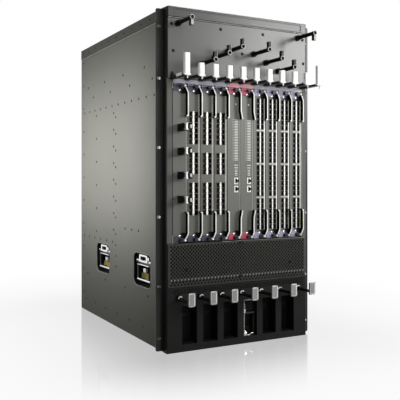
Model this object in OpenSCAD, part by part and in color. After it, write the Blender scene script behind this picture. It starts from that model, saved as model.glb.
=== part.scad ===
// Modular chassis switch: a 20-unit rack chassis with ten upright card slots, fibre and
// management cards with ejector levers, cable posts and combs, an air filter door, six power
// bays, a rear fan tray and folding carry handles.
// X runs to the right, Y to the rear, Z up. The origin is the middle of the base.

/* [Chassis] */
// Width over the side walls' folded covers
body_w = 440; // [438:0.5:444]
// Height of the body
body_h = 886; // [880:1:900]
// Depth from the front face to the fan tray's face
body_d = 690; // [660:1:800]
// Thickness of the chassis sheet metal
sheet = 2; // [1.6:0.1:2.2]

/* [Rack ears] */
// Width over the two ears
rack_w = 482.6; // [480:0.1:484]
// Distance between the two columns of rack holes
hole_span = 465.1; // [464:0.1:466]
// Width of a rack hole's slot, across its short way
hole_w = 7; // [6.5:0.1:7.5]
// Length between a rack slot's two end centres
hole_slot = 4; // [2:0.5:5]

/* [Card cage] */
// Distance from one slot to the next
slot_pitch = 40.64; // [40:0.02:40.8]
// Height of the cards' lower edge
cage_z0 = 282; // [282:1:284]
// Height of the cards' upper edge
cage_z1 = 690; // [688:1:690]
// How far a card reaches behind its face
card_depth = 397; // [360:1:397]
// Length of an upper ejector lever
lever_top_len = 84; // [70:1:90]
// Length of a lower ejector lever
lever_low_len = 78; // [70:1:90]

/* [Ports] */
// Distance from one port to the next along a card
port_pitch = 14.25; // [14:0.05:14.4]
// Depth of an empty fibre cage
port_depth = 38; // [20:1:42]

/* [Cable management] */
// How far the cable posts stand out
post_reach = 78; // [60:1:90]
// How far the upper comb stands out
comb_reach = 80; // [60:1:90]
// How far the lower comb stands out
low_comb_reach = 70; // [50:1:80]

/* [Air filter] */
// Distance between holes along a row of the filter door
mesh_pitch = 9.9; // [8:0.1:14]
// Diameter of a hole in the filter door
mesh_hole = 5.6; // [4:0.2:6]

/* [Power bays] */
// Distance from one power bay to the next
bay_pitch = 62; // [60:0.5:62]
// Width of a power bay
bay_w = 43.6; // [42:0.2:44]
// Length of a power unit
unit_len = 430; // [300:5:440]

/* [Carry handles] */
// Length of a handle's recess
dish_w = 120; // [110:1:130]
// Height of a handle's recess
dish_h = 90; // [80:1:92]
// Depth of a handle's recess
dish_d = 34; // [30:1:36]

/* [Hidden] */
$fn = 48;

// Heights of the front's zones, from the floor up
bay_z0 = 18;
bay_z1 = 118;
filter_z0 = 168;
rail_top = 702;
bezel_z0 = 857;
low_comb_z = 134;

// Planes across the depth, measured back from the front face
front_y = -body_d / 2;
frame_depth = 21;
ear_back = frame_depth + sheet;
backplane_y = card_depth + 3;
rear_y = body_d - 5;

// Planes across the width
wall_out = body_w / 2 - 1;
wall_in = wall_out - sheet;
cage_half = slot_pitch * 5;

// The front's outer corners: their radius and where its flat part ends
corner_r = 3;
flat_half = body_w / 2 - corner_r;

slot_count = 10;
card_mid_z = (cage_z0 + cage_z1) / 2;
card_half_h = (cage_z1 - cage_z0) / 2 - 0.6;
face_half_w = slot_pitch / 2 - 0.25;
face_t = 1.6;
pivot_y = -5;
pivot_r = 1.5;
pivot_inset = 3.4;
lever_root_x = 10.7;
lever_t = 3.2;
screw_inset = 5.5;
board_x = -14;

rack_unit = 44.45;
rack_first_z = 36.6;
rack_rows = [0, 3, 7, 11, 15, 18];

bay_count = 6;
unit_bay = 3;
inlet_pitch = 62;
bay_depth = 470;

handle_ys = [160.5, 470.5];
handle_z = 194;
handle_pin_z = handle_z + 24;
handle_pin_in = 9;
pin_r = 3;

fan_r = 60;
fan_pitch = 132;
fan_z = 780;
spindle_r = 4;
fan_xs = [-fan_pitch, 0, fan_pitch];

// Each card's kind: 0 plug-in optics, 1 two columns of 16 ports, 2 management, 3 two columns of 24
card_kinds = [0, 1, 1, 1, 2, 2, 3, 3, 3, 3];
optic_zs = [393, 454.5, 516, 577];
port_groups_16 = [[350.5, 6], [457, 4], [535, 6]];
port_groups_24 = [[306.5, 6], [398, 6], [489.5, 6], [581, 6]];
jack_zs = [418, 440];

function slot_x(slot) = (slot - (slot_count - 1) / 2) * slot_pitch;
function bay_x(bay) = (bay - (bay_count - 1) / 2) * bay_pitch;

// ---- shared shapes -----------------------------------------------------------------------------

// Everything is drawn with Y measured back from the front face, then moved to the frame
module placed() {
    translate([0, front_y, 0]) children();
}

// A box from its low corner to its high corner
module block(low, high) {
    translate(low) cube(high - low);
}

// A flat shape drawn in X and Z, t thick, with its front face at y0
module facing_front(y0, t) {
    translate([0, y0 + t, 0]) rotate([90, 0, 0]) linear_extrude(t) children();
}

// A flat shape drawn in Y and Z, t thick, starting at x0
module facing_side(x0, t) {
    translate([x0, 0, 0]) rotate([90, 0, 90]) linear_extrude(t) children();
}

// A rod along Y, from y0 back to y1
module rod_y(r, y0, y1) {
    translate([0, y1, 0]) rotate([90, 0, 0]) cylinder(r = r, h = y1 - y0);
}

// A rod along X, from x0 to x1
module rod_x(r, x0, x1) {
    translate([x0, 0, 0]) rotate([0, 90, 0]) cylinder(r = r, h = x1 - x0);
}

module rounded_rect(w, h, r) {
    square([w - 2 * r, h], center = true);
    square([w, h - 2 * r], center = true);
    for (sx = [-1, 1], sz = [-1, 1])
        translate([sx * (w / 2 - r), sz * (h / 2 - r)]) circle(r);
}

// A flat band of width t that follows a list of points, mitred at each bend
function side_of(a, b) = [a[1] - b[1], b[0] - a[0]] / norm(b - a);
function mitre(points, i) =
    let (last = len(points) - 1,
         before = side_of(points[max(i - 1, 0)], points[max(i, 1)]),
         after = side_of(points[min(i, last - 1)], points[min(i + 1, last)]))
    (before + after) / (1 + before * after);

module band(points, t) {
    last = len(points) - 1;
    polygon(concat([for (i = [0 : last]) points[i] + mitre(points, i) * t / 2],
                   [for (i = [last : -1 : 0]) points[i] - mitre(points, i) * t / 2]));
}

// A captive thumbscrew whose collar sits on the plane y = 0
module thumbscrew(r = 4.5, reach = 9) {
    rod_y(r + 1, -2, 0);
    difference() {
        rod_y(r, -reach, -2);
        block([-r, -reach - 1, -0.6], [r, -reach + 1.2, 0.6]);
    }
}

module mirror_pair() {
    children();
    mirror([1, 0, 0]) children();
}

// ---- chassis sheet metal -----------------------------------------------------------------------

module base_pan() {
    color("dimgray") placed() {
        block([-wall_in, sheet, 0], [wall_in, rear_y, 3]);
        mirror_pair() block([wall_in - sheet, ear_back, 3], [wall_in, rear_y, 16]);
    }
}

module side_panel() {
    facing_side(wall_in, sheet) difference() {
        translate([ear_back, 0]) square([body_d - 2 - ear_back, body_h - 1.5]);
        for (y = handle_ys) translate([y, handle_z]) rounded_rect(dish_w, dish_h, 20);
    }
}

module side_panel_left() {
    color("#45463d") placed() mirror([1, 0, 0]) side_panel();
}

module side_panel_right() {
    color("#45463d") placed() side_panel();
}

module top_cover() {
    color("#3b3c36") placed() {
        block([-body_w / 2, frame_depth, body_h - 1.5], [body_w / 2, body_d - 2, body_h]);
        mirror_pair()
            block([wall_out, ear_back, bezel_z0], [body_w / 2, body_d - 2, body_h - 1.5]);
    }
}

module rear_panel() {
    color("#3b3c36") placed() {
        facing_front(rear_y, sheet) difference() {
            translate([-wall_in, 0]) square([2 * wall_in, body_h - 1.5]);
            translate([-200.5, 706.5]) square([401, 147]);
            translate([-190, 26]) square([380, 84]);
        }
        // cover over the rear of the card cage, with pressed ribs
        facing_front(rear_y + sheet, 1.2) difference() {
            translate([0, 420]) rounded_rect(404, 520, 4);
            for (z = [240 : 120 : 600]) translate([0, z]) rounded_rect(340, 10, 4.9);
        }
    }
}

module rack_ear() {
    facing_front(frame_depth, sheet) difference() {
        union() {
            translate([wall_out, 4]) square([(rack_w / 2 - wall_out) / 2, body_h - 8]);
            translate([rack_w / 2 - 12, body_h / 2]) rounded_rect(24, body_h - 8, 5);
        }
        for (u = rack_rows) translate([hole_span / 2, rack_first_z + u * rack_unit]) {
            square([hole_slot, hole_w], center = true);
            for (s = [-1, 1]) translate([s * hole_slot / 2, 0]) circle(hole_w / 2);
        }
    }
    block([wall_out, ear_back, 4], [wall_out + 2, ear_back + 22, bezel_z0 - 1]);
}

module rack_ear_left() {
    color("#191a19") placed() mirror([1, 0, 0]) rack_ear();
}

module rack_ear_right() {
    color("#191a19") placed() rack_ear();
}

// ---- front of the chassis ----------------------------------------------------------------------

// A rounded outer corner of the front and the return behind it, on the right
module corner_return(z0, z1) {
    translate([flat_half, corner_r, z0]) linear_extrude(z1 - z0) difference() {
        intersection() {
            circle(corner_r);
            translate([0, -corner_r]) square(corner_r);
        }
        circle(corner_r - sheet);
    }
    block([body_w / 2 - sheet, corner_r, z0], [body_w / 2, frame_depth, z1]);
}

module front_frame() {
    strip_z = 155.5;
    inner = cage_half + 0.4;
    color("#1b1c1b") placed() {
        // fascia around the power bays, with a punched air strip above them
        facing_front(0, sheet) difference() {
            translate([-flat_half, 0]) square([2 * flat_half, filter_z0 - 0.5]);
            for (b = [0 : bay_count - 1])
                translate([bay_x(b) - bay_w / 2, bay_z0]) square([bay_w, bay_z1 - bay_z0]);
            for (row = [-1 : 1], i = [-25 : 24])
                translate([(i + (row == 0 ? 0 : 0.5) + 0.25) * 8.2, strip_z + row * 4.4]) circle(2);
        }
        mirror_pair() {
            corner_return(0, body_h - 1);
            // upright beside the cards and its inner return
            block([inner, 0, cage_z0 - 2], [flat_half, sheet, rail_top + 0.6]);
            block([inner, sheet, cage_z0 - 2], [inner + 2, frame_depth, bezel_z0]);
            // ledges behind the upper panel's edge and behind the filter door's edge
            block([cage_half - 8, sheet, rail_top + 4], [inner, sheet + 1.6, bezel_z0 - 4]);
            block([cage_half + 2, frame_depth - 1.6, filter_z0],
                  [body_w / 2 - 1.5, frame_depth, cage_z0 - 3]);
        }
    }
}

module top_bezel() {
    half = flat_half - 0.2;
    color("#2b2c2a") placed() difference() {
        union() {
            block([-half, -1, bezel_z0 + 1], [half, frame_depth, body_h - 1.5]);
            block([-half, -2.5, bezel_z0], [half, frame_depth, bezel_z0 + 2]);
            block([-half, -2, body_h - 2], [half, frame_depth, body_h]);
        }
        // long shallow recess and the hollow behind
        facing_front(-3, 3.2) translate([0, bezel_z0 + 14.5]) rounded_rect(400, 18, 3);
        block([-half + 2, 2, bezel_z0 + 2], [half - 2, frame_depth + 1, body_h - 2]);
    }
}

module upper_panel() {
    color("#575851") placed() {
        block([-flat_half + 0.2, 0, rail_top + 1], [flat_half - 0.2, sheet, bezel_z0 - 0.4]);
        for (z = [rail_top + 1, bezel_z0 - 2.4])
            block([-cage_half, sheet, z], [cage_half, frame_depth - 1, z + 2]);
    }
}

// ---- cable management --------------------------------------------------------------------------

// A post with a collar at its root, a rimmed hollow tip and a deep tab on the tip; side is 1
// for a tab that points up, -1 for one that points down
module cable_post(x, z, side) {
    tip = -post_reach - 2.4;
    tab_z = side > 0 ? 4 : -20;
    translate([x, 0, z]) {
        rod_y(8, -6, 0);
        difference() {
            union() {
                rod_y(5.2, tip, -6);
                rod_y(6.4, tip, tip + 5);
                block([-4, tip, tab_z], [4, tip + 10, tab_z + 16]);
            }
            rod_y(3.2, tip - 1, tip + 20);
        }
    }
}

module cable_posts() {
    post_x = [41, 81.5, 122];
    color("#1d1d1c") placed() {
        for (side = [-1, 1]) {
            for (i = [0 : 2]) cable_post(side * post_x[i], 785 - 20 * i, 1);
            cable_post(side * 189, 844, -1);
        }
    }
}

// Plan of a tab with rounded front corners, w wide and d deep, its front at y = 0
module tab_plan(w, d, r) {
    translate([-w / 2, r]) square([w, d - r]);
    translate([-w / 2 + r, 0]) square([w - 2 * r, d]);
    for (s = [-1, 1]) translate([s * (w / 2 - r), r]) circle(r);
}

// One finger of a comb: a lipped arm with a root flange and an upright tab at its tip; the tab
// is a channel, open to the rear
module comb_finger(arm_w, reach, tab_w, tab_d, tab_z0, tab_z1) {
    wall = 1.5;
    block([-arm_w / 2, -reach, 0], [arm_w / 2, 0, 2.5]);
    for (s = [-1, 1])
        block([s * (arm_w / 2 - 0.75) - 0.75, -reach, 0], [s * (arm_w / 2 - 0.75) + 0.75, 0, 5]);
    block([-arm_w / 2, -2, 0], [arm_w / 2, 0, 13]);
    translate([0, -reach - 3.5, tab_z0]) linear_extrude(tab_z1 - tab_z0) difference() {
        tab_plan(tab_w, tab_d, 3);
        translate([0, wall]) tab_plan(tab_w - 2 * wall, tab_d, 3 - wall);
    }
}

module upper_comb() {
    color("#cfd0cc") placed() {
        for (i = [0 : slot_count]) translate([(i - slot_count / 2) * slot_pitch, 0, 700.5]) {
            comb_finger(15, comb_reach, 15, 9.5, 0, i == 0 || i == slot_count ? 54 : 32);
            // foot under the tab
            block([-9, -comb_reach - 3.5, 0], [9, -comb_reach + 6, 3]);
        }
    }
}

module lower_comb() {
    color("#b3b4b0") placed() {
        for (i = [0 : bay_count]) translate([(i - bay_count / 2) * bay_pitch, 0, low_comb_z]) {
            comb_finger(12, low_comb_reach, 17, 6, -5, 27);
            // clamp ring over the root flange
            translate([0, 0, 7]) difference() {
                rod_y(7.5, -7, -1);
                rod_y(4.5, -8, -4);
            }
        }
    }
}

// ---- card cage ---------------------------------------------------------------------------------

// One shelf with a pair of guide ribs and an air window for each slot, over the cards' mid-height
module card_shelf() {
    half = (cage_z1 - cage_z0) / 2;
    difference() {
        block([-wall_in, frame_depth + 1, half], [wall_in, backplane_y, half + 2]);
        for (k = [0 : slot_count - 1])
            block([slot_x(k) - 8, 30, half - 1], [slot_x(k) + 16, backplane_y - 20, half + 3]);
    }
    for (k = [0 : slot_count - 1], s = [-1, 1])
        block([slot_x(k) + board_x + 0.8 + s * 2.4 - 0.8, 24, half - 6],
              [slot_x(k) + board_x + 0.8 + s * 2.4 + 0.8, backplane_y - 10, half]);
}

module card_shelves() {
    color("#6d6d78") placed() {
        translate([0, 0, card_mid_z]) {
            card_shelf();
            mirror([0, 0, 1]) card_shelf();
        }
        // slot label rail along the upper shelf's front
        block([-cage_half, 0, cage_z1], [cage_half, 1.6, rail_top]);
        block([-cage_half, 0, cage_z1], [cage_half, frame_depth + 2, cage_z1 + 2]);
    }
}

module backplane() {
    color("darkgreen") placed() {
        block([-wall_in + 3, backplane_y, cage_z0 - 8], [wall_in - 3, backplane_y + 4, cage_z1 + 8]);
        for (k = [0 : slot_count - 1], z = [320, 430, 540])
            block([slot_x(k) - 6, backplane_y - 2.6, z], [slot_x(k) + 6, backplane_y, z + 90]);
    }
}

// ---- power bays --------------------------------------------------------------------------------

module bay_dividers() {
    half = bay_w / 2 + 0.2;
    shelf_z = bay_z1 + 1.4;
    color("#2a2b29") placed() {
        // floor under the bays, shelf over them
        block([-wall_in, sheet, bay_z0 - 2], [wall_in, bay_depth, bay_z0]);
        block([-wall_in, sheet, shelf_z], [wall_in, bay_depth, shelf_z + 2]);
        // a folded channel, open to the rear, between each bay and the next
        for (i = [0 : bay_count]) {
            low = i == 0 ? -wall_in : bay_x(i - 1) + half;
            high = i == bay_count ? wall_in : bay_x(i) - half;
            difference() {
                block([low, sheet, bay_z0 + 0.1], [high, bay_depth, shelf_z - 0.1]);
                block([low + 1.2, sheet + 1.2, bay_z0 + 1.3], [high - 1.2, bay_depth + 1, shelf_z - 1.3]);
            }
        }
    }
}

module power_blanks() {
    color("#141514") placed() {
        for (b = [0 : bay_count - 1]) if (b != unit_bay) translate([bay_x(b), 0, 0]) {
            difference() {
                block([-21.4, 34, bay_z0 + 0.2], [21.4, 60, bay_z1 + 1]);
                block([-19.8, 36, bay_z0 + 1.8], [19.8, 61, bay_z1 - 0.6]);
            }
            // finger pull
            block([-10, 26, 92], [10, 34, 94]);
            block([-10, 26, 86], [10, 27.6, 92]);
        }
    }
}

module power_unit() {
    face_y = 8;
    color("#3c3d3b") placed() translate([bay_x(unit_bay), 0, 0]) {
        difference() {
            block([-21.4, face_y, bay_z0 + 0.4], [21.4, face_y + unit_len, bay_z1 - 0.5]);
            block([-18.5, face_y - 1, bay_z0 + 3.4], [18.5, face_y + 5, bay_z1 - 3.5]);
            for (i = [0 : 9]) block([-16, face_y + 4, 44 + i * 3.2], [8, face_y + 12, 45.8 + i * 3.2]);
        }
        // louvres over the outlet, latch bar and its grip
        for (i = [0 : 2]) translate([0, face_y + 3, 91 + i * 7.5])
            rotate([-25, 0, 0]) cube([37, 5, 1.6], center = true);
        block([-17, face_y - 2, 78], [17, face_y + 5, 82]);
        block([10, face_y - 4, 26], [15, face_y + 5, 74]);
        translate([-8, face_y + 5, 30]) thumbscrew(4.2, 11);
    }
}

// ---- air filter door ---------------------------------------------------------------------------

module air_filter() {
    z0 = filter_z0 + 0.3;
    z1 = cage_z0 - 2.4;
    half = flat_half - 0.6;
    fold_z = filter_z0 + 18;
    rows = floor((z1 - fold_z - 11) / (mesh_pitch / 2));
    cols = floor((half - 5) / mesh_pitch);
    color("#222322") placed() {
        facing_front(-0.6, 1.2) difference() {
            translate([-half, z0]) square([2 * half, z1 - z0]);
            for (r = [0 : rows], i = [-cols : cols - (r % 2)])
                translate([(i + (r % 2) / 2) * mesh_pitch, fold_z + 6 + r * mesh_pitch / 2])
                    circle(mesh_hole / 2);
            // two rows of larger openings below the fold
            for (r = [0 : 1], i = [-cols : cols - r])
                translate([(i + r / 2) * mesh_pitch, z0 + 5.2 + r * 6.4]) circle(2.9);
        }
        // returns around the door and the fold across it
        for (s = [-1, 1]) block([s * (half - 0.8) - 0.8, 0.6, z0],
                                [s * (half - 0.8) + 0.8, frame_depth - 2, z1]);
        for (z = [z0, z1 - 1.6]) block([-half, 0.6, z], [half, frame_depth - 2, z + 1.6]);
        block([-half, -1.4, fold_z - 1], [half, -0.6, fold_z + 1]);
        for (p = [[0, z1 - 6], [-161, 213], [164, 213], [0, fold_z - 3]])
            translate([p[0], -0.6, p[1]]) thumbscrew(4, 6);
        // foam pad held by the returns
        block([-half + 1.9, 2.5, z0 + 1.9], [half - 1.9, frame_depth - 3, z1 - 1.9]);
    }
}

// ---- carry handles -----------------------------------------------------------------------------

// A pressed dish behind the side wall with the two lugs that hold the handle's pin
module handle_pan() {
    x0 = wall_in - dish_d;
    difference() {
        union() {
            facing_side(wall_in - 1.5, 1.5) rounded_rect(dish_w + 18, dish_h + 14, 24);
            facing_side(x0, dish_d) rounded_rect(dish_w + 3, dish_h + 3, 21.5);
        }
        facing_side(x0 + 1.5, dish_d) rounded_rect(dish_w, dish_h, 20);
    }
    for (s = [-1, 1]) translate([0, s * 50, handle_pin_z - handle_z]) difference() {
        block([x0 + 1, -2, -7], [wall_out - handle_pin_in + 5, 2, 7]);
        translate([wall_out - handle_pin_in, 0, 0]) rod_y(pin_r + 0.08, -3, 3);
    }
    // bracket over the pin
    block([x0 + 1, -30, 29], [wall_out - handle_pin_in + 3, 30, 38]);
}

module handle_pans() {
    color("#1a1b19") placed() {
        mirror_pair() for (y = handle_ys) translate([0, y, handle_z]) handle_pan();
    }
}

// A folding bail: pin, back plate that lies against the dish's upper half, two arms and a grip
module side_handle() {
    drop = -54;
    translate([wall_out - handle_pin_in, 0, handle_pin_z]) {
        rod_y(pin_r, -55, 55);
        for (s = [-1, 1]) translate([0, s * 44, 0]) {
            block([-3, -3, drop], [3, 3, 0]);
            rod_y(5, -3, 3);
        }
        translate([0, 0, drop]) rod_y(4.2, -47, 47);
        // stiffening plate between the arms
        block([-2, -44, -14], [0, 44, 0]);
    }
}

module side_handle_left_front() {
    color("silver") placed() mirror([1, 0, 0]) translate([0, handle_ys[0], 0]) side_handle();
}

module side_handle_left_rear() {
    color("silver") placed() mirror([1, 0, 0]) translate([0, handle_ys[1], 0]) side_handle();
}

module side_handle_right_front() {
    color("silver") placed() translate([0, handle_ys[0], 0]) side_handle();
}

module side_handle_right_rear() {
    color("silver") placed() translate([0, handle_ys[1], 0]) side_handle();
}

// ---- rear --------------------------------------------------------------------------------------

// One inlet: a block with a socket that holds three flat blades
module inlet() {
    difference() {
        block([-23.8, -40, -32.8], [23.8, 2, 32.8]);
        block([-12.2, -18, -9.7], [12.2, 3, 9.7]);
    }
    block([-1, -18, 2.4], [1, -4, 7.4]);
    for (s = [-1, 1]) block([s * 6.5 - 1, -18, -6], [s * 6.5 + 1, -4, -1]);
}

module power_entry() {
    plate_y = rear_y + sheet;
    color("#2a2b29") placed() {
        for (i = [0 : 5]) translate([(i - 2.5) * inlet_pitch, plate_y, 68]) inlet();
        difference() {
            block([-194, plate_y, 22], [194, plate_y + 1.2, 114]);
            for (i = [0 : 5]) translate([(i - 2.5) * inlet_pitch, plate_y, 68])
                cube([40, 10, 50], center = true);
        }
    }
}

module fan_tray() {
    y0 = rear_y - 95;
    face_y = rear_y + sheet + 0.3;
    color("#6b6c68") placed() {
        // face plate with guards
        facing_front(face_y, 2.4) difference() {
            translate([0, fan_z]) rounded_rect(412, 156, 3);
            for (x = fan_xs) translate([x, fan_z]) difference() {
                circle(fan_r + 2);
                for (r = [14 : 10 : fan_r]) difference() {
                    circle(r + 1.2);
                    circle(r - 1.2);
                }
                circle(12);
                for (a = [0 : 45 : 135]) rotate(a) square([2 * fan_r + 6, 3], center = true);
            }
        }
        // walls of the tray
        facing_front(y0, face_y - y0) difference() {
            translate([0, fan_z]) square([400, 145.6], center = true);
            translate([0, fan_z]) square([397, 142.6], center = true);
        }
        // inner wall with the rotors' round openings
        facing_front(y0 + 20, 2) difference() {
            translate([0, fan_z]) square([398, 144], center = true);
            for (x = fan_xs) translate([x, fan_z]) circle(fan_r + 2);
        }
        // pull lip and the rotors' spindles
        block([-60, face_y + 2.4, 704], [60, face_y + 12, 706]);
        for (x = fan_xs) translate([x, 0, fan_z]) rod_y(spindle_r, y0 + 34, face_y + 0.2);
        for (x = [-198, 198]) translate([x, face_y + 2.4, fan_z]) mirror([0, 1, 0]) thumbscrew();
    }
}

// Seven pitched blades on a hub that turns about Y
module fan_rotor(i) {
    y0 = rear_y - 58;
    depth = 34;
    color("#222322") placed() translate([fan_xs[i], 0, fan_z]) difference() {
        union() {
            rod_y(24, y0, y0 + depth);
            intersection() {
                difference() {
                    rod_y(fan_r - 1, y0, y0 + depth);
                    rod_y(20, y0 - 1, y0 + depth + 1);
                }
                for (k = [0 : 6]) rotate([0, k * 360 / 7, 0]) translate([0, y0 + depth / 2, 0])
                    rotate([0, 0, 38]) translate([-1, -26, 18]) cube([2, 52, fan_r]);
            }
        }
        rod_y(spindle_r + 0.08, y0 - 1, y0 + depth + 1);
    }
}

module fan_rotor_1() { fan_rotor(0); }
module fan_rotor_2() { fan_rotor(1); }
module fan_rotor_3() { fan_rotor(2); }

// ---- cards -------------------------------------------------------------------------------------

// The coloured ejector pad at a card's upper end, its thumbscrew and the lever's pin
module ejector_pad() {
    pad_top = card_half_h;
    pad_h = 17;
    facing_front(-4, 4) polygon([[-face_half_w + 0.6, pad_top], [-face_half_w + 0.6, pad_top - pad_h],
        [4, pad_top - pad_h], [7, pad_top - pad_h + 4], [7, pad_top]]);
    translate([0, -4, pad_top - screw_inset]) thumbscrew(4.5, 10);
    translate([0, pivot_y, pad_top - pivot_inset]) {
        rod_x(2.6, 5, 8.6);
        rod_x(pivot_r, 8, 14);
        rod_x(2.4, 12.8, 14);
    }
}

// Two columns of fibre cages in groups; the block stands a little proud of the face
module port_columns(groups, mid_x, gap, cage_w) {
    for (g = groups) {
        h = g[1] * port_pitch;
        difference() {
            block([mid_x - gap / 2 - cage_w - 1.2, -1.5, g[0]],
                  [mid_x + gap / 2 + cage_w + 1.2, port_depth + 6, g[0] + h]);
            for (s = [-1, 1], i = [0 : g[1] - 1])
                translate([mid_x + s * (gap + cage_w) / 2, port_depth / 2 - 3,
                           g[0] + (i + 0.5) * port_pitch])
                    cube([cage_w, port_depth + 6, port_pitch - 1.5], center = true);
        }
    }
}

// Jack for a network lead, turned so that its latch notch points right
module jack(z) {
    translate([9, 0, z]) difference() {
        block([-8, -1, -8.6], [8, 24, 8.6]);
        block([-5, -2, -6], [3.6, 17, 6]);
        block([3, -2, -3.2], [6, 17, 3.2]);
    }
}

// The face's openings that its ports stand in
module face_openings(kind) {
    if (kind == 0) for (z = optic_zs) translate([0, z]) square([15.4, 20.4], center = true);
    if (kind == 1) for (g = port_groups_16)
        translate([-2 - 14.2, g[0]]) square([28.4, g[1] * port_pitch]);
    if (kind == 3) for (g = port_groups_24)
        translate([1.7 - 11.9, g[0]]) square([23.8, g[1] * port_pitch]);
    if (kind == 2) for (z = jack_zs) translate([1, z - 8.6]) square([16, 17.2]);
}

module card_ports(kind) {
    if (kind == 0) for (z = optic_zs) translate([0, 0, z]) difference() {
        block([-7.7, -1, -10.2], [7.7, 44, 10.2]);
        block([-6.7, -2, -9.3], [6.7, 42, 9.3]);
    }
    if (kind == 1) port_columns(port_groups_16, -2, 5, 10.5);
    if (kind == 3) port_columns(port_groups_24, 1.7, 3.4, 9);
    if (kind == 2) for (z = jack_zs) jack(z);
}

// A card: folded face, board with blocks and rear connectors, ports and two ejector pads
module card(slot) {
    kind = card_kinds[slot];
    z0 = card_mid_z - card_half_h;
    z1 = card_mid_z + card_half_h;
    back = card_depth;
    placed() translate([slot_x(slot), 0, 0]) {
        facing_front(0, face_t) difference() {
            translate([-face_half_w, z0]) square([2 * face_half_w, 2 * card_half_h]);
            face_openings(kind);
        }
        for (s = [-1, 1]) block([s * (face_half_w - 0.6) - 0.6, face_t, z0 + 1],
                                [s * (face_half_w - 0.6) + 0.6, 9, z1 - 1]);
        block([board_x, face_t, z0 + 4], [board_x + 1.6, back - 9, z1 - 4]);
        for (z = [320, 430, 540])
            block([board_x - 1, back - 16, z + 2], [board_x + 14, back, z + 88]);
        // heat sinks on the board
        for (z = [330, 560]) difference() {
            block([board_x + 1.6, 150, z], [board_x + 22, 230, z + 80]);
            for (i = [0 : 7])
                block([board_x + 6, 149, z + 4 + i * 9.4], [board_x + 23, 231, z + 9 + i * 9.4]);
        }
        card_ports(kind);
        translate([0, 0, card_mid_z]) {
            ejector_pad();
            mirror([0, 0, 1]) ejector_pad();
        }
    }
}

module optic_card_1() { color("#6f706a") card(0); }
module fibre_card_2() { color("#6f706a") card(1); }
module fibre_card_3() { color("#6f706a") card(2); }
module fibre_card_4() { color("#6f706a") card(3); }
module manager_card_5() { color("#7d7e78") card(4); }
module manager_card_6() { color("#7d7e78") card(5); }
module fibre_card_7() { color("#8d8e88") card(6); }
module fibre_card_8() { color("#8d8e88") card(7); }
module fibre_card_9() { color("#8d8e88") card(8); }
module fibre_card_10() { color("#8d8e88") card(9); }

// Optics plugged into the first card: sleeve, finned head and a bail
module plug_optics() {
    color("#2d2e2c") placed() {
        for (z = optic_zs) translate([slot_x(0), 0, z]) {
            block([-6.4, -26, -9], [6.4, 30, 9]);
            for (i = [0 : 3]) block([-8, -40 + i * 4, -9.6], [8, -38 + i * 4, 9.6]);
            block([-6.4, -40, -8], [6.4, -26, 8]);
            block([-7, -50, -9], [7, -40, 9]);
            for (s = [-1, 1]) block([-7.8, -54, s * 7.6 - 0.9], [7.8, -44, s * 7.6 + 0.9]);
        }
    }
}

// A lever: a blade that bends away from its pin and runs along the card; len_z is its length
module lever(slot, len_z) {
    top = card_half_h - 0.2;
    pin_z = card_half_h - pivot_inset;
    tip = card_half_h - len_z;
    points = card_kinds[slot] == 2
        ? [[lever_root_x, top], [lever_root_x, top - 10], [13.6, top - 17], [13.6, tip + 22], [18.1, tip]]
        : [[lever_root_x, top], [lever_root_x, top - 10], [16.8, top - 23], [16.8, tip + 3],
           [12.4, tip + 1]];
    translate([slot_x(slot), 0, 0]) difference() {
        facing_front(-15, 12) band(points, lever_t);
        translate([0, pivot_y, pin_z]) rod_x(pivot_r + 0.08, 5, 16);
    }
}

module lever_top(slot) {
    color("#c9cac6") placed() translate([0, 0, card_mid_z]) lever(slot, lever_top_len);
}

module lever_low(slot) {
    color("#c9cac6") placed() translate([0, 0, card_mid_z]) mirror([0, 0, 1]) lever(slot, lever_low_len);
}

module lever_top_1() { lever_top(0); }
module lever_top_2() { lever_top(1); }
module lever_top_3() { lever_top(2); }
module lever_top_4() { lever_top(3); }
module lever_top_5() { lever_top(4); }
module lever_top_6() { lever_top(5); }
module lever_top_7() { lever_top(6); }
module lever_top_8() { lever_top(7); }
module lever_top_9() { lever_top(8); }
module lever_top_10() { lever_top(9); }
module lever_low_1() { lever_low(0); }
module lever_low_2() { lever_low(1); }
module lever_low_3() { lever_low(2); }
module lever_low_4() { lever_low(3); }
module lever_low_5() { lever_low(4); }
module lever_low_6() { lever_low(5); }
module lever_low_7() { lever_low(6); }
module lever_low_8() { lever_low(7); }
module lever_low_9() { lever_low(8); }
module lever_low_10() { lever_low(9); }

base_pan();
side_panel_left();
side_panel_right();
top_cover();
rear_panel();
rack_ear_left();
rack_ear_right();
front_frame();
top_bezel();
upper_panel();
cable_posts();
upper_comb();
lower_comb();
card_shelves();
backplane();
bay_dividers();
power_blanks();
handle_pans();
power_entry();
air_filter();
power_unit();
fan_tray();
fan_rotor_1();
fan_rotor_2();
fan_rotor_3();
side_handle_left_front();
side_handle_left_rear();
side_handle_right_front();
side_handle_right_rear();
optic_card_1();
fibre_card_2();
fibre_card_3();
fibre_card_4();
manager_card_5();
manager_card_6();
fibre_card_7();
fibre_card_8();
fibre_card_9();
fibre_card_10();
plug_optics();
lever_top_1();
lever_top_2();
lever_top_3();
lever_top_4();
lever_top_5();
lever_top_6();
lever_top_7();
lever_top_8();
lever_top_9();
lever_top_10();
lever_low_1();
lever_low_2();
lever_low_3();
lever_low_4();
lever_low_5();
lever_low_6();
lever_low_7();
lever_low_8();
lever_low_9();
lever_low_10();
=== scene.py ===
import math

import bmesh
import bpy
from mathutils import Matrix, Vector


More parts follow.
